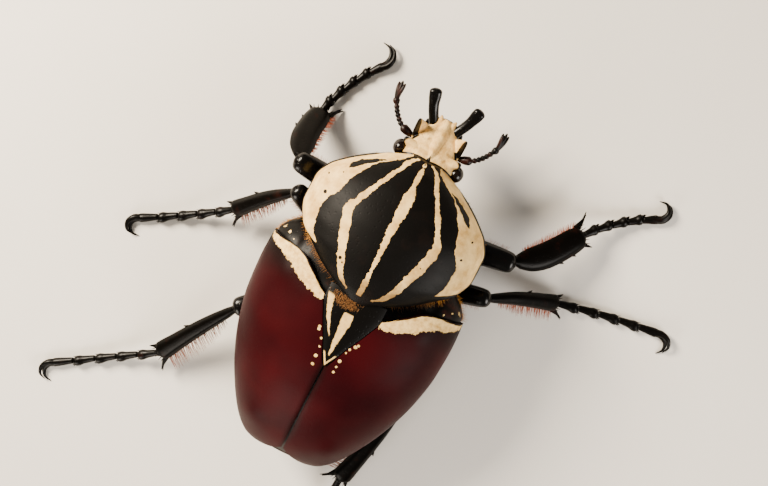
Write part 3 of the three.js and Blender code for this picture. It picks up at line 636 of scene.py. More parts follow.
# The white streaks of the scutellum, as [y, distance from the middle] or [y, half width].
SCUTELLUM_SIDE_LINE = [(5.0, 5.6), (5.8, 5.3), (9, 4.3), (13.9, 1.9)]
SCUTELLUM_SIDE_HALF = [(5.0, 0.2), (5.8, 0.75), (8, 0.6), (11, 0.35), (14, 0.08)]
SCUTELLUM_MID_HALF = [(7.6, 0.6), (8.0, 1.05), (8.7, 1.15), (12, 0.8), (16, 0.38), (17.8, 0.1)]
SCUTELLUM_RIM = [(4, 6.6), (6.4, 6.6), (9.6, 5.4), (15.4, 2.6), (20.3, 0.0)]


def shell_of_scutellum(look):
    """Black glossy cuticle with three chalk-white streaks and a white rim at the tip."""
    material, add, place = new_finish("scutellum_cuticle")
    x, y, _ = add("SeparateXYZ", place).node.outputs
    waver = ripple_of(add, place, 1.2, 3.0, 0.6, 0.7)
    wx = add("plus", x, waver)
    along = add("times", add("soft_step", y, 5.3, 5.9), add("soft_step", y, 14.1, 13.2))
    away = add("absolute", add("minus", wx, curve_of(add, y, SCUTELLUM_SIDE_LINE, 10)))
    edge = add("times", band(add, away, curve_of(add, y, SCUTELLUM_SIDE_HALF, 2)), along)
    middle = band(add, add("absolute", add("minus", wx, 0.1)), curve_of(add, y, SCUTELLUM_MID_HALF, 2))
    ends = add("times", add("soft_step", y, 7.6, 7.9), add("soft_step", y, 17.8, 17.4))
    middle = add("times", middle, ends)
    rim = add("minus", curve_of(add, y, SCUTELLUM_RIM, 10), add("absolute", x))
    rim = add("absolute", add("minus", rim, 0.34))
    tip = add("times", add("soft_step", rim, 0.24, 0.14), add("soft_step", y, 17.0, 17.5))
    pale = add("larger", add("larger", edge, middle), tip)
    colour = add("blend", pale, look.black,
                 add("blend", noise_of(add, place, 1.0), look.cream, look.cream_shade))
    height = add("plus", pits(add, place, 0.9, 0.28), add("times", pale, 0.7))
    surface(add, colour, add("times_plus", pale, 0.2, 0.38), height, 0.025, Specular_IOR_Level=0.12)
    return material


# The front edge of the shield as [|x|, y + 30].
SHIELD_FRONT_LINE = [(0, 3.4), (3.6, 3.5), (6, 4.5), (8.9, 5.9)]


def shell_of_head(look):
    """Chalky cream cuticle over black: the crown and front plate are cream, the sides and edges black."""
    material, add, place = new_finish("head_cuticle")
    x, y, z = add("SeparateXYZ", place).node.outputs
    waver = ripple_of(add, place, 1.4, 4.0, 0.6, 1.0)
    ax = add("absolute", x)
    # Distances from the root of a lobe: out from its face, up along it and across it.
    root, line = Vector(LOBE_ROOT), Vector(LOBE_LINE)
    along = (Vector(LOBE_TIP) - root).normalized()
    across = (line - along * along.dot(line)).normalized()
    spot = add("CombineXYZ", ax, y, z)
    ahead, rise, beside = (add("minus", add("dot", spot, way), way.dot(root))
                           for way in (line.cross(along), along, across))
    # The cream ends low on the cheeks. Behind the slanting line of the lobes the shell is black.
    pale = add("soft_step", add("plus", z, waver), 16.4, 16.9)
    pale = add("times", pale, add("soft_step", ahead, -0.25, 0.0))
    # The outer edge of a lobe is black up to its tip.
    edge = add("plus", add("times_plus", rise, -0.28, beside), add("times", waver, 0.3))
    edge = add("times", add("soft_step", edge, -1.3, -1.5), add("soft_step", rise, 0.9, 1.4))
    edge = add("times", edge, add("soft_step", ahead, 1.3, 1.0))
    pale = add("times", pale, add("minus", 1.0, edge))
    # A dark line follows the front edge of the shield, with a short stem down the middle of the crown.
    collar = curve_of(add, ax, SHIELD_FRONT_LINE, 10)
    collar = add("soft_step", add("minus", add("plus", y, 30), collar), -0.35, -0.2)
    width = add("times", add("soft_step", y, -28.4, -26.6), 0.55)
    stem = add("soft_step", add("minus", width, add("plus", ax, add("times", waver, 0.2))), 0.0, 0.12)
    pale = add("times", pale, add("minus", 1.0, add("larger", collar, stem)))
    stain = noise_of(add, place, 2.6, 5.0, 0.65, (3, 1, 7))
    cream = add("blend", add("soft_step", stain, 0.3, 0.7), look.cream, look.cream_shade)
    # Grey-brown clouds: partly real wear of old scales along fine cracks, partly painted shade that stands in
    # for the shading of the head's relief.
    worn_and_shaded = add("soft_step", noise_of(add, place, 1.7, 5.0, 0.7, (2, 8, 5)), 0.52, 0.72)
    cream = add("blend", add("times", worn_and_shaded, 0.6), cream, look.amber)
    black = add("blend", add("soft_step", stain, 0.5, 0.8), look.black, look.black_brown)
    colour = add("blend", pale, black, cream)
    height = add("plus", add("times", pits(add, place, 0.55, 0.2), 0.6), add("times", stain, 1.6))
    surface(add, colour, add("times_plus", pale, 0.2, 0.35), height, 0.06, Specular_IOR_Level=0.15)
    return material


# The glossy parts: how much brown shows, the size and spacing of the pits, the roughness and the shine.
GLOSSY = {
    "black": (0.35, 0.2, 0.7, 0.17, 0.2),
    "trunk": (0.8, 0.25, 0.9, 0.36, 0.1),
    "horn": (0.25, 0.16, 0.5, 0.17, 0.2),
    "claw": (0.45, 0.08, 0.4, 0.24, 0.1),
    "tibia": (0.5, 0.22, 0.8, 0.24, 0.05),
    "foot": (0.4, 0.12, 0.5, 0.24, 0.1),
    "feeler": (0.95, 0.1, 0.4, 0.3, 0.15),
}
# White spots on the shoulders of the middle thorax, as distance from the middle, y and radius.
SHOULDER_SPOTS = ((21.3, -0.3, 0.6), (19.4, 0.1, 0.2), (17.9, 0.9, 0.14))


def glossy_cuticle(look, part):
    """Thick hardened cuticle: black like lacquer, and reddish brown where light gets through thin places."""
    warm, pit_size, spacing, rough, shine = GLOSSY[part]
    material, add, place = new_finish(part + "_cuticle")
    cloud = noise_of(add, place, 3.0, 4.0, 0.6)
    glow = add("soft_step", cloud, 0.7 - 0.3 * warm, 1.0 - 0.25 * warm)
    colour = add("blend", add("times", glow, warm), look.black, look.brown)
    if part == "trunk":
        x, y, z = add("SeparateXYZ", place).node.outputs
        ripple = ripple_of(add, place, 0.8, 3.0, 0.5, 1.4)
        share = spots_of(add, add("absolute", x), y, SHOULDER_SPOTS, ripple)
        colour = add("blend", add("times", share, add("soft_step", z, 19.5, 20.5)), colour, look.cream)
    scratch = noise_of(add, place, 0.5, 3.0, 0.6)
    height = add("plus", add("times", pits(add, place, spacing, pit_size), 0.8), add("times", scratch, 0.3))
    roughness = add("times_plus", cloud, 0.14, rough)
    surface(add, colour, roughness, height, 0.025, Specular_IOR_Level=shine)
    return material


# The real facets of the eye are 0.03 mm wide. They are drawn coarser, so that they show.
FACET = 0.18


def eye_lens(look):
    """Compound eye: hundreds of tiny lenses under clear cuticle, black with a hard highlight."""
    material, add, place = new_finish("compound_eye")
    cells = add("TexVoronoi", place, Scale=1 / FACET, Randomness=0.15)
    tint = add("blend", add("soft_step", cells, 0.2, 0.9), look.black, look.black_brown)
    surface(add, tint, add("times_plus", cells, 0.1, 0.1), cells, -0.02, Specular_IOR_Level=0.2,
            Coat_Weight=0.15, Coat_Roughness=0.05)
    return material


def bristle_finish(look, name, colour, tip, inner=None):
    """Chitin bristles: stiff, slightly see-through hairs that look red-gold in the light.

    Near the middle line they may have an inner colour.
    """
    material, add, place = new_finish(name)
    strand = noise_of(add, place, 0.5, 2.0)
    colour = add("blend", strand, colour, tip)
    if inner:
        x = add("absolute", add("SeparateXYZ", place))
        colour = add("blend", add("soft_step", x, 16.0, 13.0), colour,
                     add("blend", strand, look.black_brown, inner))
    surface(add, colour, add("times_plus", strand, 0.2, 0.35), Specular_IOR_Level=0.5)
    return material


def floor_finish(look):
    """Matt studio paper, pale warm grey with a faint mottle."""
    material, add, place = new_finish("studio_paper")
    mottle = noise_of(add, place, 40.0, 3.0)
    surface(add, add("blend", mottle, look.paper, look.paper_shade), add("times_plus", mottle, 0.1, 0.7))
    return material


FINISHES = {}
MAKERS = {
    "shield": shell_of_shield,
    "cases": shell_of_cases,
    "scutellum": shell_of_scutellum,
    "head": shell_of_head,
    "eye": eye_lens,
    "fringe": lambda look: bristle_finish(look, "red_brown_bristle", look.fringe, look.fringe_tip),
    "fur": lambda look: bristle_finish(look, "golden_bristle", look.fur, look.fur_tip, look.fur_inner),
    "floor": floor_finish,
}


def finish_named(name):
    """Each finish is made once and shared by its pieces."""
    look = bpy.context.scene.beetle_look
    if name not in FINISHES:
        FINISHES[name] = glossy_cuticle(look, name) if name in GLOSSY else MAKERS[name](look)
    return FINISHES[name]


def colour_property(name, description, code):
    """A colour that a user may change."""
    return FloatVectorProperty(name=name, description=description, subtype="COLOR", size=4, min=0, max=1,
                               default=linear(code))


class BeetleLook(bpy.types.PropertyGroup):
    """Colours of the shell and the hairs."""

    cream: colour_property("Cream", "Chalky pale stripes and head", "#e9c682")
    cream_shade: colour_property("Cream shade", "Darker blotches in the pale areas", "#b38a4a")
    # Amber also carries painted shade: the extra brown at the right rear ends of the shield's stripes, and
    # part of the head's grey-brown clouds.
    amber: colour_property("Amber", "Stained rear ends of the pale stripes", "#66441c")
    black: colour_property("Black", "Dark shell", "#040302")
    black_brown: colour_property("Brown black", "Thin places of the dark shell", "#150a05")
    brown: colour_property("Brown", "Light shining through legs and feelers", "#32130a")
    oxblood: colour_property("Oxblood", "Wing cases in the light", "#300407")
    oxblood_dark: colour_property("Dark oxblood", "Wing cases in the shade", "#1c0204")
    fringe: colour_property("Fringe", "Bristles of the legs", "#6c260c")
    fringe_tip: colour_property("Fringe tips", "Lit bristles of the legs", "#b0501c")
    fur: colour_property("Fur", "Soft hair at the flanks of the body", "#8a5014")
    fur_tip: colour_property("Fur tips", "Lit hair of the flanks", "#d8962e")
    fur_inner: colour_property("Inner fur", "Short brown hair between the shield and the wing cases",
                               "#a06c38")
    paper: colour_property("Paper", "Studio floor", "#d9d4cc")
    paper_shade: colour_property("Paper shade", "Mottle of the studio floor", "#d2ccc3")


class BeetleSizes(bpy.types.PropertyGroup):
    """Sizes of the pieces, in metres where they are lengths."""

    case_thickness: FloatProperty(name="Case thickness", description="Wall of a wing case",
                                  default=0.8 * MM, min=0.2 * MM, max=1.5 * MM, unit="LENGTH")
    seam: FloatProperty(name="Seam", description="Half of the gap between the wing cases", default=0.1 * MM,
                        min=0, max=0.3 * MM, unit="LENGTH")
    horn_length: FloatProperty(name="Horn length", description="Each front horn", default=8.3 * MM,
                               min=4 * MM, max=10 * MM, unit="LENGTH")
    horn_spread: FloatProperty(name="Horn spread", description="Heading of each horn",
                               default=math.radians(28), min=0, max=math.radians(60), subtype="ANGLE")
    claw_length: FloatProperty(name="Claw length", description="Each hooked claw", default=6.6 * MM,
                               min=2 * MM, max=8 * MM, unit="LENGTH")
    bristle_length: FloatProperty(name="Bristle length", description="Fringe of the shins",
                                  default=3.8 * MM, min=1 * MM, max=5 * MM, unit="LENGTH")
    fineness: IntProperty(name="Fineness", description="Sides of the round sections of the legs",
                          default=24, min=8, max=48)


# The shell.


class BEETLE_OT_shield(bpy.types.Operator):
    """Builds the striped shield and the segment below it"""

    bl_idname = "beetle.shield"
    bl_label = "Shield"

    def execute(self, context):
        bm = bmesh.new()
        width, top, edge, under = map(profile, (SHIELD_WIDTH, SHIELD_TOP, SHIELD_EDGE, SHIELD_UNDER))

        def shape(point, across, rise):
            # A rounded border along the edge with a groove above it.
            side = math.copysign(1, across) * math.sqrt(abs(across))
            border = 0.24 * bell(rise, 0.0, 0.035) - 0.16 * bell(rise, 0.11, 0.05)
            point.x += side * border
            point.z += 0.12 * noise.noise(point * 0.11) if rise > 0.2 else 0
            return point

        reach = SHIELD_REAR - SHIELD_FRONT
        ys = [SHIELD_FRONT + reach * (0.5 - 0.5 * math.cos(math.pi * t)) for t in steps(0, 1, 88)]
        rings = body_rings(ys, width, top, edge, under, 160, 0.95, 0.9, shape)
        # Both ends are rounded off with smaller rings.
        for end, direction in ((0, -1), (-1, 1)):
            round_off(rings, end, direction, ((0.985, 0.12), (0.95, 0.22), (0.88, 0.27)))
        add_loft(bm, rings)
        finish("prothorax_shield", bm, "shield", ["pronotum"], 60)
        return {"FINISHED"}


def case_point(u, v, curves):
    """A point on a wing case, u from its front to its end and v from the seam to its outer edge."""
    width, top, edge, inner, front, end, seam = curves

    def plan(y):
        start = math.acos(min(1, (inner(y) + seam) / width(y)))
        return width(y) * math.cos(start * (1 - v)), start * (1 - v)

    low, high = front(12), end(6)
    for _ in range(8):
        x = plan(low)[0]
        low = front(x)
        high = 0.5 * high + 0.5 * end(plan(high)[0])
    y = low + (high - low) * u
    x, a = plan(y)
    z = edge(y) + (top(y) - edge(y)) * math.sin(a) ** CASE_ARCH
    # The shoulder knob, the knob before the tip and a shallow hollow between them.
    z += 0.5 * bell(x, 16.5, 3) * bell(y, 6, 3.2) + 0.7 * bell(x, 9.5, 3) * bell(y, 41, 3)
    z -= 0.35 * bell(x, 13, 5) * bell(y, 30, 8)
    z -= 0.18 * bell(x, 0, 0.55)
    # A fine border along the outer edge.
    border = 0.2 * bell(v, 1.0, 0.025) - 0.12 * bell(v, 0.95, 0.02)
    return Vector((x + border, y, z))


class BEETLE_OT_wing_cases(bpy.types.Operator):
    """Builds the two wing cases as thin curved shells with rounded rims"""

    bl_idname = "beetle.wing_cases"
    bl_label = "Wing cases"

    def execute(self, context):
        sizes = context.scene.beetle_sizes
        lines = (CASE_WIDTH, CASE_TOP, CASE_EDGE, SCUTELLUM_SIDE, CASE_FRONT, CASE_END)
        curves = [*map(profile, lines), sizes.seam / MM]
        for side, sign in SIDES:
            bm = bmesh.new()
            bmesh.ops.create_grid(bm, x_segments=84, y_segments=130, size=0.5)
            for vert in bm.verts:
                u, v = vert.co.y + 0.5, vert.co.x + 0.5
                # The faces are a little narrower in the middle of a case than at its rims.
                v = v + 0.08 * math.sin(2 * math.pi * v) / (2 * math.pi)
                vert.co = mirrored(case_point(u, min(max(v, 0), 1), curves), sign)
            thicken(bm, sizes.case_thickness / MM)
            rim = [e for e in bm.edges if len(e.link_faces) == 2 and e.calc_face_angle(0) > math.radians(60)]
            bmesh.ops.bevel(bm, geom=rim, offset=0.14, affect="EDGES", segments=2, profile=0.5, material=-1,
                            clamp_overlap=True)
            finish("wing_case_" + side, bm, "cases", ["elytron_" + side], 60)
        return {"FINISHED"}


class BEETLE_OT_scutellum(bpy.types.Operator):
    """Builds the small three-cornered plate between the wing cases"""

    bl_idname = "beetle.scutellum"
    bl_label = "Scutellum"

    def execute(self, context):
        width, top, edge, inner = map(profile, (CASE_WIDTH, CASE_TOP, CASE_EDGE, SCUTELLUM_SIDE))
        bm = bmesh.new()
        bmesh.ops.create_grid(bm, x_segments=48, y_segments=64, size=0.5)
        for vert in bm.verts:
            y = SCUTELLUM_SPAN[0] + (SCUTELLUM_SPAN[1] - SCUTELLUM_SPAN[0]) * (vert.co.y + 0.5)
            x = 2 * vert.co.x * max(inner(y) - 0.12, 0.08)
            a = math.acos(min(1, abs(x) / width(y)))
            z = edge(y) + (top(y) - edge(y)) * math.sin(a) ** CASE_ARCH
            crown = 0.3 * (1 - (2 * vert.co.x) ** 4)
            vert.co = (x, y, z + crown)
        thicken(bm, SCUTELLUM_THICKNESS)
        finish("scutellum_plate", bm, "scutellum", ["scutellum"])
        return {"FINISHED"}


class BEETLE_OT_trunk(bpy.types.Operator):
    """Builds the middle thorax and the abdomen with its belly plates"""

    bl_idname = "beetle.trunk"
    bl_label = "Thorax and abdomen"

    def execute(self, context):
        bm = bmesh.new()
        width, top, edge, under = map(profile, (THORAX_WIDTH, THORAX_TOP, THORAX_EDGE, THORAX_UNDER))

        def chest(point, _, rise):
            # Seams between the breast plates, and a keel that runs forward between the legs.
            if rise < 0:
                point.z -= 0.9 * bell(point.x, 0, 2.2) * bell(point.y, -2, 5)
                seam = 0.3 * bell(abs(point.x), 11 + 0.25 * point.y, 0.35) + 0.25 * bell(point.x, 0, 0.2)
                point.z += seam * (-rise)
            else:
                point.z -= 0.5 * bell(abs(point.x), 15.5, 0.8) * bell(point.y, 0, 3)
            return point

        ys = steps(*THORAX_SPAN, 50)
        add_loft(bm, body_rings(ys, lambda y: width(y) - 0.05, top, edge, under, 128, 0.9, 0.9, chest))
        finish("middle_thorax", bm, "trunk", ["thorax"], sharp=60)

        bm = bmesh.new()
        width, top, edge, under = map(profile, (CASE_WIDTH, CASE_TOP, CASE_EDGE, BELLY_UNDER))
        plate = (BELLY_SPAN[1] - BELLY_SPAN[0]) / BELLY_PLATES
        ys = []
        for i in range(BELLY_PLATES):
            start = BELLY_SPAN[0] + i * plate
            ys += [start + plate * t for t in (0, 0.04, 0.08, 0.16, 0.3, 0.5, 0.7, 0.86, 0.93, 0.97)]
        ys += [BELLY_SPAN[1] - 0.02]

        def inset(y):
            # Each belly plate overlaps the next one, with a step and a groove between them.
            t = ((y - BELLY_SPAN[0]) / plate) % 1
            return 0.45 * (1 - min(t / 0.1, 1)) + 0.18 * (1 - t) + (0.25 if t > 0.98 else 0)

        def belly(point, _, rise):
            if rise < 0:
                hollow = 0.5 * bell(point.x, 0, 5) * bell(point.y, 30, 12)
                point.z += inset(point.y) * (-rise) ** 0.5 + hollow
            return point

        rings = body_rings(ys, lambda y: width(y) - 1.3, lambda y: top(y) - 1.25, lambda y: edge(y) - 0.9,
                           under, 112, CASE_ARCH, 0.85, belly)
        round_off(rings, -1, 1, ((0.97, 0.25), (0.9, 0.5), (0.75, 0.7)))
        add_loft(bm, rings)
        finish("abdomen_plates", bm, "trunk", ["abdomen"], sharp=35)
        return {"FINISHED"}


# The head.


class BEETLE_OT_head(bpy.types.Operator):
    """Builds the head: crown, middle ridge, side lobes and the front plate with its two teeth"""

    bl_idname = "beetle.head"
    bl_label = "Head"

    def execute(self, context):
        bm = bmesh.new()
        curves = [profile_ahead(HEAD_REACH, c) for c in (HEAD_WIDTH, HEAD_TOP, HEAD_EDGE, HEAD_UNDER)]
        add_loft(bm, body_rings(steps(-HEAD_REACH[0], -HEAD_REACH[-1], 44), *curves, 64, 0.8, 0.9))
        half, crest = (profile_ahead(RIDGE_REACH, c) for c in (RIDGE_WIDTH, RIDGE_TOP))
        rows = steps(-RIDGE_REACH[0], -RIDGE_REACH[-1], 24)
        add_loft(bm, body_rings(rows, half, crest, lambda y: RIDGE_EDGE, lambda y: RIDGE_UNDER, 24))
        for _, sign in SIDES:
            for root, tip, *sizes in HEAD_SPINES:
                add_spine(bm, [mirrored(root, sign), mirrored(tip, sign)], *sizes)
            self.side_lobe(bm, sign)
        joined = blended(bm, 0.12, 3)
        finish("head_capsule", joined, "head", ["head"], 80)
        return {"FINISHED"}

    def side_lobe(self, bm, sign):
        """The upright three-cornered lobe in front of a feeler. Its broad root stands aslant on the head."""
        root, tip = mirrored(LOBE_ROOT, sign), mirrored(LOBE_TIP, sign)
        along = (tip - root).normalized()
        face = mirrored(LOBE_LINE, sign).cross(along)
        width = profile([(0, 2.3), (0.4, 1.8), (0.75, 1.0), (0.94, 0.5), (1, 0.25)])
        depth = profile([(0, 0.8), (0.4, 0.55), (0.75, 0.42), (1, 0.22)])
        add_limb(bm, Path([root, tip]), width, depth, face, 28, 24)


class BEETLE_OT_eyes(bpy.types.Operator):
    """Builds the two faceted eyes"""

    bl_idname = "beetle.eyes"
    bl_label = "Eyes"

    def execute(self, context):
        for side, sign in SIDES:
            bm = bmesh.new()
            add_ball(bm, mirrored(EYE_CENTRE, sign), EYE_RADII, 48)
            finish("eye_lens_" + side, bm, "eye", ["eye_" + side])
        return {"FINISHED"}


class BEETLE_OT_horns(bpy.types.Operator):
    """Builds the two blunt horns, which widen to a cut tip"""

    bl_idname = "beetle.horns"
    bl_label = "Horns"

    def execute(self, context):
        sizes = context.scene.beetle_sizes
        length, spread = sizes.horn_length / MM, math.degrees(sizes.horn_spread)
        wide = profile([(0, 1.12), (0.3, 1.1), (0.6, 1.14), (0.85, 1.36), (0.93, 1.34), (0.97, 1.12),
                        (1.0, 0.6)])
        deep = profile([(0, 1.0), (0.3, 0.95), (0.6, 0.95), (0.85, 1.05), (0.93, 1.0), (0.97, 0.76),
                        (1.0, 0.35)])
        for side, sign in SIDES:
            root = mirrored(HORN_ROOT, sign)
            along, bend = heading(spread, 12, sign), heading(spread - 14, 20, sign)
            path = Path([root - along * 1.2, root + along * length * 0.45,
                         root + along * length * 0.6 + bend * length * 0.4])
            bm = bmesh.new()
            flute = lambda t, a: 1 - 0.14 * bell(a, 0.5 * math.pi, 0.5) * bell(t, 0.86, 0.13)
            add_limb(bm, path, wide, deep, UP, 40, 60, flute=flute)
            finish("horn_shaft_" + side, bm, "horn", ["horn_" + side])
        return {"FINISHED"}


class BEETLE_OT_feelers(bpy.types.Operator):
    """Builds the two feelers: a club-like first segment, six beads and a fan of three leaves"""

    bl_idname = "beetle.feelers"
    bl_label = "Feelers"

    def execute(self, context):
        for side, sign in SIDES:
            points = [mirrored(p, sign) for p in FEELER_ROUTE]
            path = Path(points)
            sizes = [(0, 0.46), (0.06, 0.62), (0.2, 0.94), (0.3, 0.98), (0.36, 0.66), (FEELER_CLUB, 0.42)]
            for i in range(FEELER_BEADS):
                start = FEELER_CLUB + (1 - FEELER_CLUB) * i / FEELER_BEADS
                sizes += [(start + 0.025, 0.54), (start + 0.06, 0.63), (start + 0.085, 0.56),
                          (start + 0.1025, 0.42)]
            sizes[-1] = (1.0, 0.42)
            bm = bmesh.new()
            radius = profile(sizes)
            add_limb(bm, path, radius, lambda t: radius(t) * 0.94, UP, 20, 110)
            add_ball(bm, points[3], (0.78, 0.8, 0.78), 20)
            for i, turn in enumerate(FEELER_LEAVES):
                along = heading(turn, 8 - 8 * i, sign)
                start = points[3] - along * 0.4
                length = 4.4 - 0.3 * abs(i - 1)
                middle = start + along * length * 0.5 + heading(turn + 90, 0, sign) * 0.16
                leaf = Path([start, middle, points[3] + along * length])
                wide = profile([(0, 0.3), (0.15, 0.44), (0.6, 0.46), (0.9, 0.32), (1, 0.1)])
                deep = profile([(0, 0.36), (0.15, 0.6), (0.6, 0.82), (0.9, 0.52), (1, 0.14)])
                add_limb(bm, leaf, wide, deep, UP, 20, 30)
            finish("feeler_" + side, bm, "feeler", ["antenna_" + side])
        return {"FINISHED"}


class BEETLE_OT_mouthparts(bpy.types.Operator):
    """Builds the chin plate and the jointed mouth feelers"""

    bl_idname = "beetle.mouthparts"
    bl_label = "Mouthparts"

    def execute(self, context):
        bm = bmesh.new()
        width = profile_ahead((27, 30, 32.6, 33.2), (3.0, 3.4, 2.7, 2.0))
        top, under = (profile_ahead((27, 30, 33.2), c) for c in ((12.6, 12.3, 12.3), (10.9, 10.5, 11.2)))
        middle = lambda y: (top(y) + under(y)) / 2
        add_loft(bm, body_rings(steps(-27, -33.2, 24), width, top, middle, under, 48))
        for _, sign in SIDES:
            for route, root, tip in PALPS:
                beads = profile([(0, root), (0.25, root * 1.05), (0.3, root * 0.7), (0.35, root),
                                 (0.6, root * 1.05), (0.66, root * 0.68), (0.72, root * 0.95),
                                 (0.92, root * 0.85), (1, tip * 0.6)])
                add_limb(bm, Path([mirrored(p, sign) for p in route]), beads, beads, PALP_UP, 14, 40)
        finish("chin_and_palps", bm, "feeler", ["mouthparts"])
        return {"FINISHED"}


# The legs.


def stance(name):
    """The joints and directions of one leg."""
    pair, side = name.split("_")
    sizes = PAIRS[pair]
    sign = 1 if side == "left" else -1
    femur, tibia, tarsus, claw = STANCES[name]
    hip = mirrored(sizes["hip"], sign)
    knee = hip + heading(*femur, sign) * sizes["femur"]
    ankle = knee + heading(*tibia, sign) * sizes["tibia"]
    points, walk = [ankle.copy()], ankle.copy()
    for i in range(1, FOOT_SEGMENTS + 1):
        turn = tarsus[0] + (tarsus[1] - tarsus[0]) * (i - 0.5) / FOOT_SEGMENTS
        walk += heading(turn, 0, sign) * (sizes["tarsus"] / FOOT_SEGMENTS)
        walk.z = FOOT_HEIGHT + (ankle.z - FOOT_HEIGHT) * (1 - i / FOOT_SEGMENTS) ** 2.2
        points.append(walk.copy())
    return dict(name=name, pair=pair, sign=sign, sizes=sizes, hip=hip, knee=knee, ankle=ankle,
                points=points, turn=tarsus[1], claw=claw)


def limb_axes(a, b, sign):
    """Directions along a limb, out to its front or outer side, and up from it."""
    along = (b - a).normalized()
    up = (UP - along * along.z).normalized()
    return along, along.cross(up).normalized() * sign, up


def shin_shape(leg):
    """The bowed path of a shin, its half width, and its directions: along, out to the spurs, and up."""
    sizes, knee, ankle = leg["sizes"], leg["knee"], leg["ankle"]
    along, out, up = limb_axes(knee, ankle, leg["sign"] * sizes["spurs"])
    w = sizes["wide"] / 2
    shares = list(zip((0.12, 0.3, 0.5, 0.78, 0.95), (w * share for share in sizes["shin"])))
    wide = profile([(0, 0.95), (0.05, 0.9), *shares, (0.985, w * sizes["shin"][5] * 0.9), (1, w * 0.45)])
    return Path([knee, knee.lerp(ankle, 0.45) - out * sizes["bow"], ankle]), wide, along, out, up


class BEETLE_OT_legs(bpy.types.Operator):
    """Builds the hip, thigh and shin of each leg"""

    bl_idname = "beetle.legs"
    bl_label = "Hips, thighs and shins"

    def execute(self, context):
        sides = context.scene.beetle_sizes.fineness
        for name in STANCES:
            leg = stance(name)
            self.hip(leg, sides)
            self.thigh(leg, sides)
            self.shin(leg, sides)
        return {"FINISHED"}

    def hip(self, leg, sides):
        bm = bmesh.new()
        add_ball(bm, leg["hip"], leg["sizes"]["coxa"], sides + 8)
        finish("hip_" + leg["name"], bm, "black", ["coxa_" + leg["name"]])

    def thigh(self, leg, sides):
        sizes, hip, knee = leg["sizes"], leg["hip"], leg["knee"]
        w = sizes["thick"] / 2
        along, out, up = limb_axes(hip, knee, leg["sign"])
        bow = hip + (knee - hip) * 0.5 + out * 0.2
        # The thigh ends a little beyond the knee.
        reach = 1.07
        wide = profile([(0.02, w * 0.5), (0.12, w * 0.78), (0.3, w * 0.97), (0.55, w), (0.8, w * 0.95),
                        (0.95, w * 0.88), (1.02, w * 0.78), (1.05, w * 0.62), (1.07, w * 0.36)])
        deep = profile([(0.02, 1.3), (0.3, 1.9), (0.55, 2.0), (0.8, 1.95), (0.95, 1.82), (1.02, 1.6),
                        (1.05, 1.25), (1.07, 0.7)])
        end = hip + (knee - hip) * reach
        bm = bmesh.new()
        # A groove along the lower side takes the folded shin.
        groove = lambda t, a: 1 - 0.12 * bell(a, 1.5 * math.pi, 0.35) * min(1, t * 2)
        add_limb(bm, Path([hip, bow, end]), lambda t: wide(t * reach), lambda t: deep(t * reach), up,
                 sides + 8, 70, flute=groove, span=(0.02, 1))
        add_ball(bm, hip + along * 2.6, (1.9, 1.9, 1.8), sides)
        finish("thigh_" + leg["name"], bm, "black", ["femur_" + leg["name"]])

    def shin(self, leg, sides):
        knee, ankle = leg["knee"], leg["ankle"]
        path, wide, along, out, up = shin_shape(leg)
        w = leg["sizes"]["wide"] / 2
        deep = profile([(0, 1.0), (0.12, 1.15), (0.3, 1.25), (0.5, 1.35), (0.78, 1.35), (0.94, 1.3),
                        (0.985, 1.05), (1.0, 0.7)])
        bm = bmesh.new()

        def flute(t, a):
            # Long shallow flutes with ridges between them, which fade at both ends of the shin.
            fade = min(1, max(0, (t - 0.12) * 6)) * min(1, max(0, (1 - t) * 8))
            return 1 + 0.025 * math.cos(6 * a) * fade

        add_limb(bm, path, wide, deep, up, sides + 16, 90, flute=flute)
        add_ball(bm, knee, (1.5, 1.5, 1.5), sides)
        for reach, size, lift in SHIN_SPURS:
            root = ankle - along * 1.6 + out * (w * reach - 0.2)
            tip = ankle + along * size * 0.55 + out * (w * 0.9 + size * 0.5) + up * lift
            tip.z = max(tip.z, 0.15)
            bend = root.lerp(tip, 0.55) + along * 0.3
            add_spine(bm, [root, bend, tip], 0.62, 0.08, 14, 12)
        add_spine(bm, [ankle - along * 1.5 - out * w * 0.5, ankle + along * 1.1 - out * w * 1.1], 0.7, 0.1,
                  14, 8)
        # Small teeth on the outer edge and a crown of stout bristles round the end.
        for share in SHIN_TEETH[leg["pair"]]:
            centre, way = path.at(share)
            base = centre - out * (wide(share) - 0.45)
            add_spine(bm, [base - way * 0.5, base - out * 0.95 + way * 0.6], 0.5, 0.08, 12, 6)
        for i in range(CROWN_BRISTLES):
            a = 2 * math.pi * (i + 0.5) / CROWN_BRISTLES
            ring = out * (w * 0.72 * math.cos(a)) + up * (0.95 * math.sin(a))
            base = ankle - along * 0.5 + ring
            add_spine(bm, [base, base + along * 1.2 + ring * 0.22], 0.16, 0.03, 6, 3)
        finish("shin_" + leg["name"], bm, "tibia", ["tibia_" + leg["name"]])


def stand_on_floor(bm):
    """Cuts a mesh flat at the floor and closes it."""
    cut = bmesh.ops.bisect_plane(bm, geom=bm.verts[:] + bm.edges[:] + bm.faces[:], dist=1e-5,
                                 plane_co=(0, 0, 0), plane_no=(0, 0, -1), clear_outer=True)["geom_cut"]
    bmesh.ops.holes_fill(bm, edges=[g for g in cut if isinstance(g, bmesh.types.BMEdge)], sides=0)


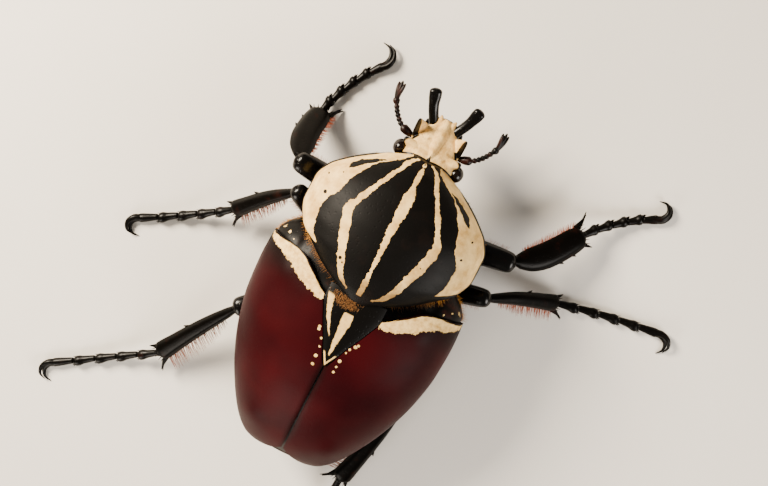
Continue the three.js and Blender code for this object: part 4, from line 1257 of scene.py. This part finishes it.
class BEETLE_OT_feet(bpy.types.Operator):
    """Builds the five-part feet with their spines and hooked claws"""

    bl_idname = "beetle.feet"
    bl_label = "Feet"

    def execute(self, context):
        claw_length = context.scene.beetle_sizes.claw_length / MM
        for name in STANCES:
            leg = stance(name)
            self.foot(leg)
            self.claws(leg, claw_length)
        return {"FINISHED"}

    def foot(self, leg):
        path = Path(leg["points"])
        hook = -math.copysign(1, leg["claw"] * leg["sign"])
        bm = bmesh.new()
        for i in range(FOOT_SEGMENTS):
            start, end = i / FOOT_SEGMENTS, (i + 1) / FOOT_SEGMENTS
            last = i == FOOT_SEGMENTS - 1
            flare = 1.05 if last else 1.25
            shape = profile([(0, 0.56), (0.06, 0.76), (0.25, 0.84), (0.55, 0.98), (0.8, flare),
                             (0.9, flare * 0.98), (0.96, flare * 0.78), (1.0, 0.54)])
            share = lambda t: (t - start) * FOOT_SEGMENTS
            lean = lambda t: 0 if last else 0.3 * hook * share(t) ** 2
            add_limb(bm, path, lambda t: shape(share(t)), lambda t: shape(share(t)) * 0.88, UP, 20, 28,
                     shift=lean, span=(start, end))
            if not last:
                self.thorns(bm, path, end, hook)
        add_ball(bm, leg["ankle"], (0.9, 0.9, 0.9), 16)
        stand_on_floor(bm)
        finish("foot_" + leg["name"], bm, "foot", ["tarsus_" + leg["name"]])

    def thorns(self, bm, path, end, hook):
        """The pointed corner of a foot segment, and stiff spines beside it."""
        centre, along = path.at(end - 0.03)
        across = along.cross(UP).normalized() * hook
        for side, lift, size, root in FOOT_THORNS:
            base = centre + across * side + UP * lift
            tip = base + along * size + across * side * 0.5
            tip.z = max(tip.z, 0.08)
            add_spine(bm, [base, tip], root, 0.04, 8, 4)

    def claws(self, leg, length):
        """Two hooked claws side by side, with a short bristle between them."""
        end = leg["points"][-1]
        bm = bmesh.new()
        for rank in (-1, 1):
            points = [end - heading(leg["turn"], 0, leg["sign"]) * 0.9]
            for i in range(4):
                rise = 12 - 9 * i if rank > 0 else -4 - 2 * i
                turn = leg["turn"] + leg["claw"] * (i / 3) ** 1.2 - 8 * rank
                points.append(points[-1] + heading(turn, rise, leg["sign"]) * (length / 4 + 0.2))
            add_spine(bm, points, 0.9, 0.08, 18, 30)
        along = heading(leg["turn"], 6, leg["sign"])
        add_spine(bm, [end, end + along * 1.7], 0.22, 0.05, 8, 4)
        stand_on_floor(bm)
        finish("claws_" + leg["name"], bm, "claw", ["tarsus_" + leg["name"]])


# The hairs.


def add_bristle(bm, layer, root, along, length, radius, place):
    """One bristle of three sides, with a small patch of its own in the map."""
    turn = along.to_track_quat("Z", "Y").to_matrix().to_4x4()
    matrix = Matrix.Translation(root + along * length / 2) @ turn
    made = bmesh.ops.create_cone(bm, segments=3, radius1=radius, radius2=radius * 0.12, depth=length,
                                 cap_ends=True, matrix=matrix)
    for vert in made["verts"]:
        share = (vert.co - root).dot(along) / length
        for loop in vert.link_loops:
            loop[layer].uv = (place[0] + 0.003 * share, place[1] + 0.0015)


class BEETLE_OT_hairs(bpy.types.Operator):
    """Builds the fringes of the legs and the fur at the joints of the body"""

    bl_idname = "beetle.hairs"
    bl_label = "Hairs"

    def execute(self, context):
        length = context.scene.beetle_sizes.bristle_length / MM
        for name in STANCES:
            self.leg_fringe(stance(name), length)
        self.body_fur()
        return {"FINISHED"}

    def leg_fringe(self, leg, length):
        """A comb of bristles on the spur side of a shin and shorter ones on the thigh."""
        random.seed(leg["name"])
        bm = bmesh.new()
        layer = bm.loops.layers.uv.new("OFBake")
        reach = length * FRINGE_REACH[leg["pair"]]
        path, wide, _, out, up = shin_shape(leg)
        for i in range(SHIN_HAIRS):
            share = 0.2 + 0.74 * (i + random.random()) / SHIN_HAIRS
            centre, way = path.at(share)
            root = centre + out * (wide(share) - 0.15) + up * random.uniform(-0.5, 0.25)
            aim = (out + way * random.uniform(0.12, 0.4) + up * random.uniform(-0.3, 0.05)).normalized()
            size = reach * random.uniform(0.75, 1.1) * min(1, share * 2.2)
            # No hair reaches the floor.
            aim.z = max(aim.z, (0.1 - root.z) / size)
            add_bristle(bm, layer, root, aim, size, 0.085, (0.02 + 0.95 * share, 0.1 + 0.2 * (i % 7) / 7))
        along, out, up = limb_axes(leg["hip"], leg["knee"], leg["sign"] * leg["sizes"]["spurs"])
        half = leg["sizes"]["thick"] / 2
        for i in range(THIGH_HAIRS):
            share = 0.35 + 0.57 * (i + random.random()) / THIGH_HAIRS
            root = leg["hip"].lerp(leg["knee"], share) + out * half * 0.85 + up * random.uniform(-0.8, -0.1)
            aim = (out + along * random.uniform(0.2, 0.6) + up * random.uniform(-0.6, 0)).normalized()
            add_bristle(bm, layer, root, aim, random.uniform(0.8, 1.6), HAIR_RADIUS,
                        (0.02 + 0.95 * share, 0.5 + 0.2 * (i % 7) / 7))
        finish("fringe_" + leg["name"], bm, "fringe", None, sharp=80)

    def body_fur(self):
        """Brown fur on the base of the scutellum, and golden fur round the shield and at the flanks."""
        random.seed(7)
        bm = bmesh.new()
        layer = bm.loops.layers.uv.new("OFBake")
        top, edge, width = map(profile, (THORAX_TOP, THORAX_EDGE, THORAX_WIDTH))
        plate_width, plate_top, plate_edge = map(profile, (CASE_WIDTH, CASE_TOP, CASE_EDGE))
        shield_width, shield_edge, shield_under = map(profile, (SHIELD_WIDTH, SHIELD_EDGE, SHIELD_UNDER))
        # A mat on the base of the scutellum.
        for _ in range(MAT_HAIRS):
            x = random.gauss(MAT_MIDDLE, 1.5)
            y = MAT_FRONT + (2.5 - 0.22 * abs(x - MAT_MIDDLE)) * random.random() ** 1.2
            rise = math.sqrt(max(0, 1 - (x / plate_width(y)) ** 2))
            root = Vector((x, y, plate_edge(y) + (plate_top(y) - plate_edge(y)) * rise ** CASE_ARCH + 0.25))
            aim = Vector((random.uniform(-0.5, 0.5), 1, random.uniform(0.1, 0.45))).normalized()
            add_bristle(bm, layer, root, aim, random.uniform(0.5, 1.1), 0.05,
                        (0.3 + 0.04 * (x + 5), 0.05 + 0.1 * (y - MAT_FRONT)))
        # A fringe on the middle thorax where it comes out below the rear edge of the shield.
        for _ in range(REAR_HAIRS):
            sign = random.choice((-1, 1))
            y = random.uniform(-3.5, 5.0)
            x = min(shield_width(min(y - 0.6, 4.2)) - random.uniform(0.5, 1.4), width(y) - 0.3)
            rise = math.sqrt(max(0, 1 - (x / width(y)) ** 2))
            root = Vector((sign * x, y, edge(y) + (top(y) - edge(y)) * rise ** 0.9))
            aim = Vector((sign * random.uniform(0.4, 1.0), random.uniform(0.5, 1.0),
                          random.uniform(0, 0.4))).normalized()
            add_bristle(bm, layer, root, aim, random.uniform(0.8, 1.7), HAIR_RADIUS,
                        (0.1 + 0.08 * (y + 4), 0.5 + 0.1 * sign))
        # The flanks of the middle thorax.
        for _ in range(FLANK_HAIRS):
            sign = random.choice((-1, 1))
            y = random.uniform(-3.5, 1.5)
            rise = random.uniform(-0.5, 0.15)
            across = math.sqrt(1 - rise * rise)
            height = (top(y) - edge(y)) * rise if rise > 0 else (7 - edge(y)) * -rise
            root = Vector((sign * width(y) * across * 0.985, y, edge(y) + height))
            aim = Vector((sign * 0.8, random.uniform(-0.2, 0.7), random.uniform(-0.5, 0.3))).normalized()
            add_bristle(bm, layer, root, aim, random.uniform(0.9, 1.7), HAIR_RADIUS,
                        (0.1 + 0.08 * (y + 4) + 0.4 * (sign > 0), 0.5 + rise * 0.4))
        # A fringe below the rim of the shield, forward to the neck.
        for _ in range(RIM_HAIRS):
            sign = random.choice((-1, 1))
            y = random.uniform(-25.5, -3)
            drop = random.uniform(0.15, 0.5)
            x = shield_width(y) * math.sqrt(1 - drop * drop) * 0.99
            z = shield_edge(y) + (shield_under(y) - shield_edge(y)) * drop ** 0.9
            aim = Vector((sign * 0.75, random.uniform(-0.2, 0.6), random.uniform(-0.9, -0.2))).normalized()
            add_bristle(bm, layer, Vector((sign * x, y, z)), aim, random.uniform(0.6, 1.3), 0.04,
                        (0.05 + 0.4 * (y + 26) / 23 + 0.5 * (sign > 0), 0.1 + 0.5 * drop))
        finish("body_fur", bm, "fur", None, sharp=80)


# The studio.


class BEETLE_OT_studio(bpy.types.Operator):
    """Builds the floor, the lights and the camera of the photograph's view"""

    bl_idname = "beetle.studio"
    bl_label = "Studio"

    def execute(self, context):
        bm = bmesh.new()
        bmesh.ops.create_grid(bm, x_segments=1, y_segments=1, size=FLOOR_HALF)
        bmesh.ops.translate(bm, vec=UP * FLOOR_LEVEL, verts=bm.verts)
        bmesh.ops.transform(bm, matrix=PLACE, verts=bm.verts)
        floor = add_mesh("studio_floor", bm)
        floor.data.materials.append(finish_named("floor"))
        floor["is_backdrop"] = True

        for name, light in LIGHTS.items():
            self.light(name, *light)
        world = bpy.data.worlds.new("studio")
        world.use_nodes = True
        light = world.node_tree.nodes["Background"].inputs
        light["Color"].default_value = linear(ROOM_LIGHT["Color"])
        light["Strength"].default_value = ROOM_LIGHT["Strength"]
        context.scene.world = world
        self.camera(context)
        return {"FINISHED"}

    def light(self, name, place, size, watts, code):
        """One square softbox that faces the beetle."""
        data = bpy.data.lights.new(name, "AREA")
        data.size = size * MM
        data.energy = watts
        data.color = linear(code)[:3]
        lamp = add_object(name, data)
        lamp.location = ORIGIN + Vector(place) * MM
        aim = ORIGIN + VIEW_AIM * MM - lamp.location
        lamp.rotation_euler = aim.to_track_quat("-Z", "Y").to_euler()

    def camera(self, context):
        """The camera, from the photograph's roll, lean, distance and scale."""
        lean, roll = math.radians(VIEW_LEAN), math.radians(VIEW_ROLL)
        back = Vector((0, -math.sin(lean), math.cos(lean)))
        ahead = Vector((0, -math.cos(lean), -math.sin(lean)))
        beside = ahead.cross(back)
        up = ahead * math.cos(roll) - beside * math.sin(roll)
        right = ahead * math.sin(roll) + beside * math.cos(roll)
        shift_x = (VIEW_AIM_PIXEL[0] - PICTURE[0] / 2) / VIEW_SCALE
        shift_y = (PICTURE[1] / 2 - VIEW_AIM_PIXEL[1]) / VIEW_SCALE
        place = VIEW_AIM + back * VIEW_DISTANCE - right * shift_x - up * shift_y
        data = bpy.data.cameras.new("photo_view")
        data.sensor_width = SENSOR
        data.lens = VIEW_SCALE * VIEW_DISTANCE / PICTURE[0] * SENSOR
        data.clip_start = 0.01
        camera = add_object("photo_view", data)
        turn = Matrix((right, up, back)).transposed().to_4x4()
        camera.matrix_world = Matrix.Translation(ORIGIN + place * MM) @ turn
        context.scene.camera = camera


class BEETLE_PT_panel(bpy.types.Panel):
    """Sizes, colours and a button for each group of pieces"""

    bl_idname = "BEETLE_PT_panel"
    bl_label = "Goliath beetle"
    bl_space_type = "VIEW_3D"
    bl_region_type = "UI"
    bl_category = "Beetle"

    def draw(self, context):
        for group in (context.scene.beetle_sizes, context.scene.beetle_look):
            box = self.layout.box()
            for name in group.bl_rna.properties.keys():
                if name not in ("rna_type", "name"):
                    box.prop(group, name)
        for operator in PIECES:
            self.layout.operator(operator.bl_idname)


PIECES = (
    BEETLE_OT_studio,
    BEETLE_OT_shield,
    BEETLE_OT_wing_cases,
    BEETLE_OT_scutellum,
    BEETLE_OT_trunk,
    BEETLE_OT_head,
    BEETLE_OT_eyes,
    BEETLE_OT_horns,
    BEETLE_OT_feelers,
    BEETLE_OT_mouthparts,
    BEETLE_OT_legs,
    BEETLE_OT_feet,
    BEETLE_OT_hairs,
)
CLASSES = (BeetleLook, BeetleSizes, *PIECES, BEETLE_PT_panel)


def register():
    for item in CLASSES:
        bpy.utils.register_class(item)
    bpy.types.Scene.beetle_look = PointerProperty(type=BeetleLook)
    bpy.types.Scene.beetle_sizes = PointerProperty(type=BeetleSizes)


def unregister():
    del bpy.types.Scene.beetle_sizes
    del bpy.types.Scene.beetle_look
    for item in reversed(CLASSES):
        bpy.utils.unregister_class(item)


def main():
    register()
    for operator in PIECES:
        group, name = operator.bl_idname.split(".")
        getattr(getattr(bpy.ops, group), name)()
    boxes = [[[float(v) for v in corner] for corner in box] for box in (CAD_BOX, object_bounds())]


if __name__ == "__main__":
    main()
